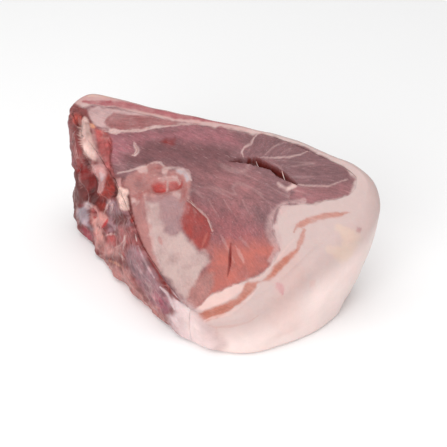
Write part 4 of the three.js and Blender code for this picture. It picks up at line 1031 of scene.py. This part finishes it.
# ---- Meshes ----
class Shell:
    """Points and triangles, with the zone of each point."""

    def __init__(self):
        self.points, self.zones, self.faces = [], [], []
        self.count = 0

    def add(self, points, zone):
        """Adds points, all in one zone or each in its own, and returns their numbers."""
        first = self.count
        self.points.append(np.asarray(points, float))
        self.zones.append(np.full(len(points), zone) if np.isscalar(zone) else np.asarray(zone))
        self.count += len(points)
        return np.arange(first, self.count)

    def band(self, low, high):
        """Triangles between two rows of equally many points."""
        a, b, c, d = low[:-1], low[1:], high[1:], high[:-1]
        self.faces.append(np.concatenate([np.column_stack([a, b, c]), np.column_stack([a, c, d])]))

    def stitch(self, a, b):
        """Triangles between two open rows of any two lengths."""
        made, i, j = [], 0, 0
        while i < len(a) - 1 or j < len(b) - 1:
            if j == len(b) - 1 or (i < len(a) - 1 and (i + 1) * (len(b) - 1) <= (j + 1) * (len(a) - 1)):
                made.append((a[i], a[i + 1], b[j]))
                i += 1
            else:
                made.append((a[i], b[j + 1], b[j]))
                j += 1
        self.faces.append(np.array(made))

    def fill(self, ring, ring_points, step, extra, lift, zone):
        """Fills a closed ring, seen from above, with evenly spread points that lift puts in space.

        Extra points, in the open cuts and beside them, take the place of the even ones there.
        """
        low, high = ring_points.min(axis=0), ring_points.max(axis=0)
        rows = np.arange(low[1], high[1], step * math.sqrt(0.75))
        xs = np.arange(low[0], high[0], step)
        spots = [np.column_stack([xs + step / 2 * (k % 2), np.full(len(xs), y)]) for k, y in enumerate(rows)]
        spots = np.vstack(spots)
        keep = inside_distance(spots, ring_points) > 0.6 * step
        spots = spots[keep]
        if len(extra):
            far = np.ones(len(spots), bool)
            for path, halves, _ in SLITS:
                far &= path_distance(spots, path)[0] > max(halves) + 2.0
            spots = np.vstack([spots[far], extra])
        places = [Vector(place) for place in np.vstack([ring_points, spots]).tolist()]
        outline = [list(range(len(ring)))]
        only_inside, merged_within = 1, 1e-7
        made = delaunay_2d_cdt(places, [], outline, only_inside, merged_within)
        if len(made[0]) != len(ring) + len(spots):
            raise RuntimeError("the fill of a ring has merged or added points")
        inner = self.add(lift(spots), zone)
        index = np.concatenate([ring, inner])
        self.faces.append(index[np.array([list(f) for f in made[2]])])

    def relax(self, path, ends, reach, passes):
        """Evens out the points within about this reach of a path in space, so that it shows no crease.

        Points within 14 mm of the path's ends stay as they are.
        """
        points, faces = np.vstack(self.points), np.vstack(self.faces)
        weight = smooth(1.4 - path_distance(points, path)[0] / reach)
        for end in ends:
            weight *= smooth(np.linalg.norm(points - end, axis=1) / 8 - 1.8)
        edges = np.unique(np.sort(np.vstack([faces[:, [k, k - 1]] for k in range(3)]), axis=1), axis=0)
        here, there = edges.ravel(), edges[:, ::-1].ravel()
        count = np.maximum(np.bincount(here, minlength=len(points)), 1)
        for _ in range(passes):
            mean = [np.bincount(here, points[there, k], len(points)) / count for k in range(3)]
            points += 0.6 * weight[:, None] * (np.column_stack(mean) - points)
        self.points = [points]
        self.zones = [np.concatenate(self.zones)]

    def mesh(self, name):
        """A mesh of the points that are used, with these points in millimetres and their zones."""
        points = np.vstack(self.points)
        faces = np.vstack(self.faces)
        used = np.unique(faces)
        renumber = np.zeros(len(points), int)
        renumber[used] = np.arange(len(used))
        points, faces = points[used], renumber[faces]
        corners = points[faces]
        volume = np.einsum("ij,ij->i", corners[:, 0], np.cross(corners[:, 1], corners[:, 2])).sum()
        if volume < 0:
            faces = faces[:, ::-1]
        mesh = bpy.data.meshes.new(name)
        mesh.from_pydata(((points - MIDDLE) * MM).tolist(), [], faces.tolist())
        mesh.validate()
        mesh.shade_smooth()
        return mesh, points, np.concatenate(self.zones)[used]


def wall_depths(rows):
    """Shares of the depth at which the rows of a wall lie, closer together near both edges."""
    return 0.5 - 0.5 * np.cos(np.pi * np.arange(rows + 1) / rows)


def every_few(depths):
    """Numbers of the rows that are used on walls that nobody sees."""
    return sorted({*range(0, len(depths), SPARSE), len(depths) - 1})


def lean_shell(joint):
    """The lean: its torn wall, its cut face, its base and the wall that the fat hides."""
    s, fat = joint.samples, joint.fat
    count = len(fat)
    depths = wall_depths(joint.sizes.wall_rows)
    shell = Shell()
    rows = []
    for depth in depths:
        ring = joint.inner_wall(s, depth)
        bare = {name: values[~fat] for name, values in s.items()}
        if depth:
            ring[~fat] = joint.raised(*joint.outer_wall(bare, depth), LUMPS_ON_TORN, TORN)
        else:
            ring[~fat] = joint.raised_face(bare["lean"], LUMPS_ON_FACE)
        across = np.roll(ring, -1, axis=0) - np.roll(ring, 1, axis=0)
        square = unit(np.column_stack([across[:, 1], -across[:, 0]]))
        ring[fat, :2] += square[fat] * TUCK
        ring[fat, 2] -= SUNK * (1 - depth)
        zone = np.where(fat, FACE, TORN if depth > 0.001 else FACE)
        rows.append(shell.add(ring, zone))
    rows = np.array(rows)
    sparse = every_few(depths)
    for i in range(count):
        j = (i + 1) % count
        if not fat[i] and not fat[j]:
            shell.band(rows[::-1, i], rows[::-1, j])
        else:
            left = rows[sparse, i] if fat[i] else rows[:, i]
            right = rows[sparse, j] if fat[j] else rows[:, j]
            shell.stitch(left, right)
    all_points = np.vstack(shell.points)
    top, bottom = all_points[rows[0]][:, :2], all_points[rows[-1]][:, :2]
    near = []
    for path, halves, _ in SLITS:
        half = max(halves)
        low, high = np.min(path, axis=0) - half - 2, np.max(path, axis=0) + half + 2
        spread = [np.arange(start, end, CUT_STEP) for start, end in zip(low, high)]
        grid = np.stack(np.meshgrid(*spread), -1).reshape(-1, 2)
        near.append(grid[path_distance(grid, path)[0] < half + 1.5])

    def on_top(plan):
        return joint.raised_face(plan, LUMPS_ON_FACE)

    def on_base(plan):
        return np.column_stack([plan, np.zeros(len(plan))])

    shell.fill(rows[0], top, joint.mm("face_step"), np.vstack(near), on_top, FACE)
    shell.fill(rows[-1], bottom, joint.mm("base_step"), [], on_base, BASE)
    shell.faces[-1] = shell.faces[-1][:, ::-1]
    bare_rim = all_points[rows[0][~fat]]
    shell.relax(bare_rim, bare_rim[[0, -1]], reach=3, passes=10)
    return shell


def fat_shell(joint):
    """The cap of fat: its outside, its crest, its base and the wall that the lean hides."""
    # The cap runs on a little past its ends, where it sinks under the torn wall without a step.
    count, last = len(joint.fat), int(joint.fat.sum())
    chosen = np.arange(-OVERLAP, last + OVERLAP) % count
    s = {name: values[chosen] for name, values in joint.samples.items()}
    order = np.arange(len(chosen))
    past = np.clip(np.maximum(OVERLAP - order, order - last - OVERLAP + 1), 0, None)
    sink = np.column_stack([s["out"], np.zeros(len(chosen))]) * (0.5 * past / OVERLAP)[:, None]
    depths = wall_depths(joint.sizes.wall_rows)
    shell = Shell()

    def outside(depth):
        return joint.raised(*joint.outer_wall(s, depth), LUMPS_ON_FAT, SIDE) - sink

    outer = [shell.add(outside(depth), SIDE) for depth in depths]
    inner = [shell.add(joint.inner_wall(s, depths[k]), FACE) for k in every_few(depths)]
    start = joint.outer_wall(s, 0.0)[0][:, :2]
    top = [outer[0]]
    for k in range(1, CREST_ROWS):
        share = k / CREST_ROWS
        plan = start + (s["lean"] - start) * share
        ring = joint.raised_face(plan, LUMPS_ON_FAT - (LUMPS_ON_FAT - LUMPS_ON_FACE) * share, SIDE)
        ring[:, 2] -= 0.4 * past / OVERLAP
        top.append(shell.add(ring, SIDE))
    top.append(inner[0])
    bottom = [outer[-1]]
    points = np.vstack(shell.points)
    across = points[inner[-1]] - points[outer[-1]]
    for k in range(1, 4):
        bottom.append(shell.add(points[outer[-1]] + across * k / 4, BASE))
    bottom.append(inner[-1])
    for wall, backwards in ((outer, True), (inner, False), (top, False), (bottom, True)):
        for one, next_one in zip(wall[:-1], wall[1:]):
            shell.band(*((next_one, one) if backwards else (one, next_one)))
    # The two ends: the wall between outside and inside, and a fan of triangles at the top and base.
    for end, flip in ((0, True), (-1, False)):
        parts = len(shell.faces)
        shell.stitch(*(np.array([row[end] for row in wall]) for wall in (outer, inner)))
        for wall, backwards in ((top, True), (bottom, False)):
            edge = np.array([row[end] for row in wall])
            pair = (edge[2:], edge[1:-1]) if backwards else (edge[1:-1], edge[2:])
            shell.faces.append(np.column_stack([np.full(len(edge) - 2, edge[0]), *pair]))
        if flip:
            for k in range(parts, len(shell.faces)):
                shell.faces[k] = shell.faces[k][:, ::-1]
    return shell


def dress(mesh, tone, fatty, grain):
    """Writes what the material reads on every point: its tone, its fattiness, its place in the grain."""
    layer = mesh.attributes.new("tone", "FLOAT_COLOR", "POINT")
    layer.data.foreach_set("color", np.column_stack([tone, np.ones(len(tone))]).ravel())
    layer = mesh.attributes.new("fatty", "FLOAT", "POINT")
    layer.data.foreach_set("value", fatty)
    layer = mesh.attributes.new("grain", "FLOAT_VECTOR", "POINT")
    layer.data.foreach_set("vector", (grain * MM).ravel())


def piece_from(name, shell, joint, colours, material):
    """An object made of a shell, painted and dressed."""
    mesh, points, zone = shell.mesh(name)
    torn = joint.torn_amount(points, zone)
    tone, fatty = painted(joint, colours, points, zone, torn)
    grain = grain_of(points, torn)
    dress(mesh, tone, fatty, grain)
    mesh.materials.append(material)
    piece = bpy.data.objects.new(name, mesh)
    bpy.context.scene.collection.objects.link(piece)
    return piece


# ---- Strands ----
def strand_paths(joint, flesh):
    """Points on the flesh along each strand, with half the strand's thickness, and the edges between them."""
    points, halves, edges = [], [], []
    down = math.radians(VIEW_DOWN)
    depth = flesh[:, 1] * math.cos(down) - flesh[:, 2] * math.sin(down)
    flesh_view = seen(flesh)
    strong = [stroke[1:3] for stroke in FACE_STROKES if stroke[0] == "sinew" and stroke[3] > STRAND_FROM]
    on_face = [(path, half, "face") for path, half in strong]
    on_wall = [(path, half, "wall") for colour, path, half, _ in TORN_STROKES if colour == "sinew"]
    across = [(path, BRIDGE_HALF, "across") for path in BRIDGES]
    for path, half, kind in on_face + on_wall + across:
        path = np.array(path, float)
        reach = np.concatenate([[0], np.cumsum(np.linalg.norm(np.diff(path, axis=0), axis=1))])
        steps = np.linspace(0, reach[-1], max(int(reach[-1] / STRAND_STEP), 3) + 1)
        at = np.column_stack([np.interp(steps, reach, path[:, k]) for k in (0, 1)])
        share = steps / reach[-1]
        at += 0.35 * np.column_stack([noise(joint.on_face(at), 5, seed) for seed in (42, 43)])
        if kind == "wall":
            # The flesh that the camera sees there: of the points nearby, the one nearest to the camera.
            made = []
            for spot in at:
                near = np.flatnonzero(np.linalg.norm(flesh_view - spot, axis=1) < 1.3)
                if len(near):
                    made.append(flesh[near[np.argmin(depth[near])]])
            made = np.array(made)
            if len(made) < 4:
                continue
            made[1:-1] = (made[:-2] + made[1:-1] + made[2:]) / 3
            share = np.linspace(0, 1, len(made))
        else:
            made = joint.raised_face(at, LUMPS_ON_FACE)
            if kind == "across":
                # A bridge hangs between the two lips and sags by 0.8 mm.
                made[:, 2] = np.interp(share, [0, 1], made[[0, -1], 2]) - 0.8 * np.sin(np.pi * share)
        taper = np.sqrt(np.sin(np.pi * np.clip(share, 0.08, 0.92)))
        first = len(points)
        points += list(made)
        halves += list(STRAND_SHARE * half * taper)
        edges += [(k, k + 1) for k in range(first, len(points) - 1)]
    return np.array(points), np.array(halves), edges


def strand_tree(material):
    """Geometry Nodes that lay a strand of uneven thickness along each path."""
    tree = bpy.data.node_groups.new("strands_along_paths", "GeometryNodeTree")
    sockets = tree.interface
    sockets.new_socket("Geometry", in_out="INPUT", socket_type="NodeSocketGeometry")
    for name in ("Spacing", "Unevenness", "Seed"):
        sockets.new_socket(name, in_out="INPUT", socket_type="NodeSocketFloat")
    sockets.new_socket("Geometry", in_out="OUTPUT", socket_type="NodeSocketGeometry")
    given = node(tree, "NodeGroupInput").outputs
    path = node(tree, "GeometryNodeMeshToCurve", {"Mesh": given["Geometry"]})
    links = {"Curve": path, "Length": given["Spacing"]}
    path = node(tree, "GeometryNodeResampleCurve", links, mode="LENGTH")
    # Lumps 4 mm long make the strand thicker and thinner, and seven sides are enough for it.
    links = {"Scale": 1 / (4 * MM), "W": given["Seed"]}
    lumps = node(tree, "ShaderNodeTexNoise", links, noise_dimensions="4D")
    lumps = node(tree, "ShaderNodeMath", {0: lumps, 1: 0.5}, operation="SUBTRACT")
    links = {0: lumps, 1: given["Unevenness"], 2: 1.0}
    uneven = node(tree, "ShaderNodeMath", links, operation="MULTIPLY_ADD")
    half = node(tree, "GeometryNodeInputNamedAttribute", {"Name": "half"}, data_type="FLOAT")
    half = node(tree, "ShaderNodeMath", {0: half, 1: uneven}, operation="MULTIPLY")
    ring = node(tree, "GeometryNodeCurvePrimitiveCircle", {"Resolution": 7, "Radius": 1.0})
    links = {"Curve": path, "Profile Curve": ring, "Scale": half, "Fill Caps": True}
    strand = node(tree, "GeometryNodeCurveToMesh", links)
    strand = node(tree, "GeometryNodeSetShadeSmooth", {"Geometry": strand})
    strand = node(tree, "GeometryNodeRealizeInstances", {"Geometry": strand})
    strand = node(tree, "GeometryNodeSetMaterial", {"Geometry": strand, "Material": material})
    node(tree, "NodeGroupOutput", {"Geometry": strand})
    return tree


# ---- Materials ----
def node(tree, kind, links=(), **settings):
    """Adds a node with its settings and its inputs: a value, a socket, or a node for its first output."""
    made = tree.nodes.new(kind)
    for name, value in settings.items():
        setattr(made, name, value)
    for name, value in dict(links).items():
        if isinstance(value, bpy.types.Node):
            value = value.outputs[0]
        if isinstance(value, bpy.types.NodeSocket):
            tree.links.new(value, made.inputs[name])
        else:
            made.inputs[name].default_value = value
    return made


def flesh_material(name, roughness, coat):
    """Raw flesh: soft, moist tissue that lets light in, with the tones of its own points."""
    material = bpy.data.materials.new(name)
    material.use_nodes = True
    tree = material.node_tree
    tree.nodes.clear()
    tone = node(tree, "ShaderNodeAttribute", attribute_name="tone").outputs["Color"]
    fatty = node(tree, "ShaderNodeAttribute", attribute_name="fatty").outputs["Fac"]
    grain = node(tree, "ShaderNodeAttribute", attribute_name="grain").outputs["Vector"]
    place = node(tree, "ShaderNodeTexCoord").outputs["Object"]
    leanness = node(tree, "ShaderNodeMath", {0: 1.0, 1: fatty}, operation="SUBTRACT")
    # Noise drawn out along the fibres: bundles 1.3 mm thick, and flecks 1 mm thick between them.
    drawn = []
    for along, across in ((9, 1.3), (7.5, 1.0)):
        scale = (1 / (along * MM), 1 / (across * MM), 1 / (across * MM))
        turned_place = node(tree, "ShaderNodeMapping", {"Vector": grain, "Scale": scale})
        links = {"Vector": turned_place, "Scale": 1.0, "Detail": 3, "Roughness": 0.6}
        drawn.append(node(tree, "ShaderNodeTexNoise", links))
    streaks, flecks = drawn
    # Mottles of 7 mm, and the grit of the cut, 1.2 mm.
    mottle = node(tree, "ShaderNodeTexNoise", {"Vector": place, "Scale": 1 / (7 * MM), "Detail": 3})
    grit = node(tree, "ShaderNodeTexNoise", {"Vector": place, "Scale": 1 / (1.2 * MM), "Detail": 2})
    # Each of them lightens and darkens the tone, more in the lean than in the fat.
    light = 1.0
    for texture, in_lean, in_fat in ((streaks, 0.85, 0.06), (mottle, 0.4, 0.12), (grit, 0.4, 0.06)):
        centred = node(tree, "ShaderNodeMath", {0: texture, 1: 0.5}, operation="SUBTRACT")
        weight = node(tree, "ShaderNodeMath", {0: leanness, 1: in_lean, 2: in_fat}, operation="MULTIPLY_ADD")
        light = node(tree, "ShaderNodeMath", {0: centred, 1: weight, 2: light}, operation="MULTIPLY_ADD")
    body = node(tree, "ShaderNodeVectorMath", {0: tone, "Scale": light}, operation="SCALE")
    # Pale flecks of fat between the fibres.
    fleck = node(tree, "ShaderNodeMapRange", {"Value": flecks, "From Min": 0.6, "From Max": 0.74})
    share = node(tree, "ShaderNodeMath", {0: leanness, 1: 0.32}, operation="MULTIPLY")
    share = node(tree, "ShaderNodeMath", {0: share, 1: fleck}, operation="MULTIPLY")
    pale = (*linear("#cda6a4"), 1)
    body = node(tree, "ShaderNodeMix", {"Factor": share, "A": body, "B": pale}, data_type="RGBA")
    weight = node(tree, "ShaderNodeMath", {0: leanness, 1: 0.8, 2: 0.1}, operation="MULTIPLY_ADD")
    height = node(tree, "ShaderNodeMath", {0: grit, 1: 0.5}, operation="MULTIPLY")
    height = node(tree, "ShaderNodeMath", {0: streaks, 1: weight, 2: height}, operation="MULTIPLY_ADD")
    bump = node(tree, "ShaderNodeBump", {"Height": height, "Strength": 0.5, "Distance": 0.35 * MM})
    # Some places are wetter than others.
    wet = {
        "Value": mottle,
        "From Min": 0.3,
        "From Max": 0.7,
        "To Min": roughness - 0.08,
        "To Max": roughness + 0.1,
    }
    shader = node(
        tree,
        "ShaderNodeBsdfPrincipled",
        {
            "Base Color": body.outputs["Result"],
            "Roughness": node(tree, "ShaderNodeMapRange", wet),
            "IOR": 1.4,
            "Specular IOR Level": 0.35,
            "Subsurface Weight": 0.18,
            "Subsurface Radius": (1.0, 0.3, 0.2),
            "Subsurface Scale": 2.0 * MM,
            "Coat Weight": coat,
            "Coat Roughness": 0.22,
            "Normal": bump,
        },
    )
    node(tree, "ShaderNodeOutputMaterial", {"Surface": shader})
    return material


def floor_material():
    """Matt white paper."""
    material = bpy.data.materials.new("white_paper")
    material.use_nodes = True
    shader = material.node_tree.nodes["Principled BSDF"]
    shader.inputs["Base Color"].default_value = (0.97, 0.97, 0.97, 1)
    shader.inputs["Roughness"].default_value = 0.9
    return material


# ---- Operators ----
class PORK_OT_lean(bpy.types.Operator):
    """Makes the lean meat with its cut face, its torn side and its base"""

    bl_idname = "pork.lean"
    bl_label = "Lean meat"

    def execute(self, context):
        scene = context.scene
        joint = Joint(scene.pork_sizes)
        # Raw muscle, cut across: moist and half matt, with fibres and white flecks between them.
        material = flesh_material("raw_cut_muscle", 0.48, 0.08)
        piece = piece_from("lean_meat", lean_shell(joint), joint, scene.pork_colours, material)
        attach(piece, "root")
        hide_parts("lean")
        return {"FINISHED"}


class PORK_OT_fat(bpy.types.Operator):
    """Makes the cap of fat that wraps the lean"""

    bl_idname = "pork.fat"
    bl_label = "Cap of fat"

    def execute(self, context):
        scene = context.scene
        joint = Joint(scene.pork_sizes)
        # Raw back fat: smooth and a little waxy, with a soft sheen.
        material = flesh_material("raw_back_fat", 0.42, 0.12)
        piece = piece_from("fat_layer", fat_shell(joint), joint, scene.pork_colours, material)
        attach(piece, "root")
        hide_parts("fat_cap")
        return {"FINISHED"}


class PORK_OT_strands(bpy.types.Operator):
    """Lays strands of sinew along the seams, over the torn side and across the open cut"""

    bl_idname = "pork.strands"
    bl_label = "Strands of sinew"

    def execute(self, context):
        scene = context.scene
        joint = Joint(scene.pork_sizes)
        meat = bpy.data.objects["lean_meat"].data
        flesh = np.empty(len(meat.vertices) * 3)
        meat.vertices.foreach_get("co", flesh)
        points, halves, edges = strand_paths(joint, flesh.reshape(-1, 3) / MM + MIDDLE)
        paths = bpy.data.meshes.new("paths")
        paths.from_pydata(((points - MIDDLE) * MM).tolist(), edges, [])
        layer = paths.attributes.new("half", "FLOAT", "POINT")
        layer.data.foreach_set("value", halves * MM)
        # Sinew and silver skin: tough white fibres, wetter and glossier than the meat round them.
        tree = strand_tree(flesh_material("wet_sinew", 0.36, 0.2))
        maker = bpy.data.objects.new("paths", paths)
        scene.collection.objects.link(maker)
        modifier = maker.modifiers.new("strands", "NODES")
        modifier.node_group = tree
        wanted = {
            "Spacing": scene.pork_sizes.strand_spacing,
            "Unevenness": scene.pork_sizes.strand_unevenness,
            "Seed": scene.pork_sizes.strand_seed,
        }
        for item in tree.interface.items_tree:
            if item.name in wanted:
                modifier[item.identifier] = wanted[item.name]
        mesh = bpy.data.meshes.new_from_object(maker.evaluated_get(context.evaluated_depsgraph_get()))
        bpy.data.objects.remove(maker)
        mesh.name = "sinew_strands"
        place = np.empty(len(mesh.vertices) * 3)
        mesh.vertices.foreach_get("co", place)
        place = place.reshape(-1, 3) / MM + MIDDLE
        torn = inside_distance(seen(place), TORN_OUTLINE) > 0
        paint = Paint(scene.pork_colours, place, "sinew")
        paint.lay("pink_tissue", smooth(0.5 + 1.5 * noise(place, 9, 41)) * np.where(torn, 0.9, 0.7))
        dress(mesh, paint.tone, paint.fat, grain_of(place, torn * 1.0))
        piece = bpy.data.objects.new("sinew_strands", mesh)
        scene.collection.objects.link(piece)
        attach(piece, "root")
        return {"FINISHED"}


class PORK_OT_stage(bpy.types.Operator):
    """Makes the floor, the lights and the camera"""

    bl_idname = "pork.stage"
    bl_label = "Stage"

    def execute(self, context):
        scene = context.scene
        mesh = bpy.data.meshes.new("floor")
        half = 2.5  # metres
        corners = [(-half, -half, 0), (half, -half, 0), (half, half, 0), (-half, half, 0)]
        mesh.from_pydata(corners, [], [(0, 1, 2, 3)])
        mesh.materials.append(floor_material())
        floor = bpy.data.objects.new("floor", mesh)
        scene.collection.objects.link(floor)

        world = bpy.data.worlds.new("studio")
        world.use_nodes = True
        world.node_tree.nodes["Background"].inputs["Color"].default_value = (1, 1, 1, 1)
        world.node_tree.nodes["Background"].inputs["Strength"].default_value = 0.68
        scene.world = world
        scene.view_settings.view_transform = "Standard"

        # Two large round lamps, in metres and watts, that face the middle of the joint.
        middle = Vector((0, 0, 0.05))
        for name, place, size, power in (
            ("key", (-0.45, -1.1, 0.65), 0.9, 8.0),
            ("top", (-0.2, -0.1, 1.3), 1.2, 5.0),
        ):
            light = bpy.data.lights.new(name, "AREA")
            light.shape = "DISK"
            light.size = size
            light.energy = power
            lamp = bpy.data.objects.new(name, light)
            lamp.location = place
            lamp.rotation_euler = (middle - Vector(place)).to_track_quat("-Z", "Y").to_euler()
            scene.collection.objects.link(lamp)

        down = math.radians(VIEW_DOWN)
        centre = Vector(VIEW_AIM - MIDDLE)
        back = Vector((0, -math.cos(down), math.sin(down)))
        lens = bpy.data.cameras.new("camera")
        lens.lens = 100
        camera = bpy.data.objects.new("camera", lens)
        camera.location = (centre + back * VIEW_REACH) * MM
        camera.rotation_euler = (-back).to_track_quat("-Z", "Y").to_euler()
        scene.collection.objects.link(camera)
        scene.camera = camera
        return {"FINISHED"}


class VIEW3D_PT_pork(bpy.types.Panel):
    """Lists the pieces, sizes and colours of the joint"""

    bl_label = "Pork shoulder"
    bl_idname = "VIEW3D_PT_pork"
    bl_space_type = "VIEW_3D"
    bl_region_type = "UI"
    bl_category = "Meat"

    def draw(self, context):
        layout = self.layout
        for step in STEPS:
            layout.operator(step.bl_idname)
        for group in (context.scene.pork_sizes, context.scene.pork_colours):
            box = layout.box()
            for name in group.__annotations__:
                box.prop(group, name)


STEPS = (PORK_OT_lean, PORK_OT_fat, PORK_OT_strands, PORK_OT_stage)
CLASSES = (PorkSizes, PorkColours, *STEPS, VIEW3D_PT_pork)


def register():
    for made in CLASSES:
        bpy.utils.register_class(made)
    bpy.types.Scene.pork_sizes = PointerProperty(type=PorkSizes)
    bpy.types.Scene.pork_colours = PointerProperty(type=PorkColours)


def unregister():
    del bpy.types.Scene.pork_colours
    del bpy.types.Scene.pork_sizes
    for made in reversed(CLASSES):
        bpy.utils.unregister_class(made)


def main():
    """Makes the stage and every piece."""
    register()
    bpy.ops.pork.stage()
    bpy.ops.pork.lean()
    bpy.ops.pork.fat()
    bpy.ops.pork.strands()


if __name__ == "__main__":
    main()
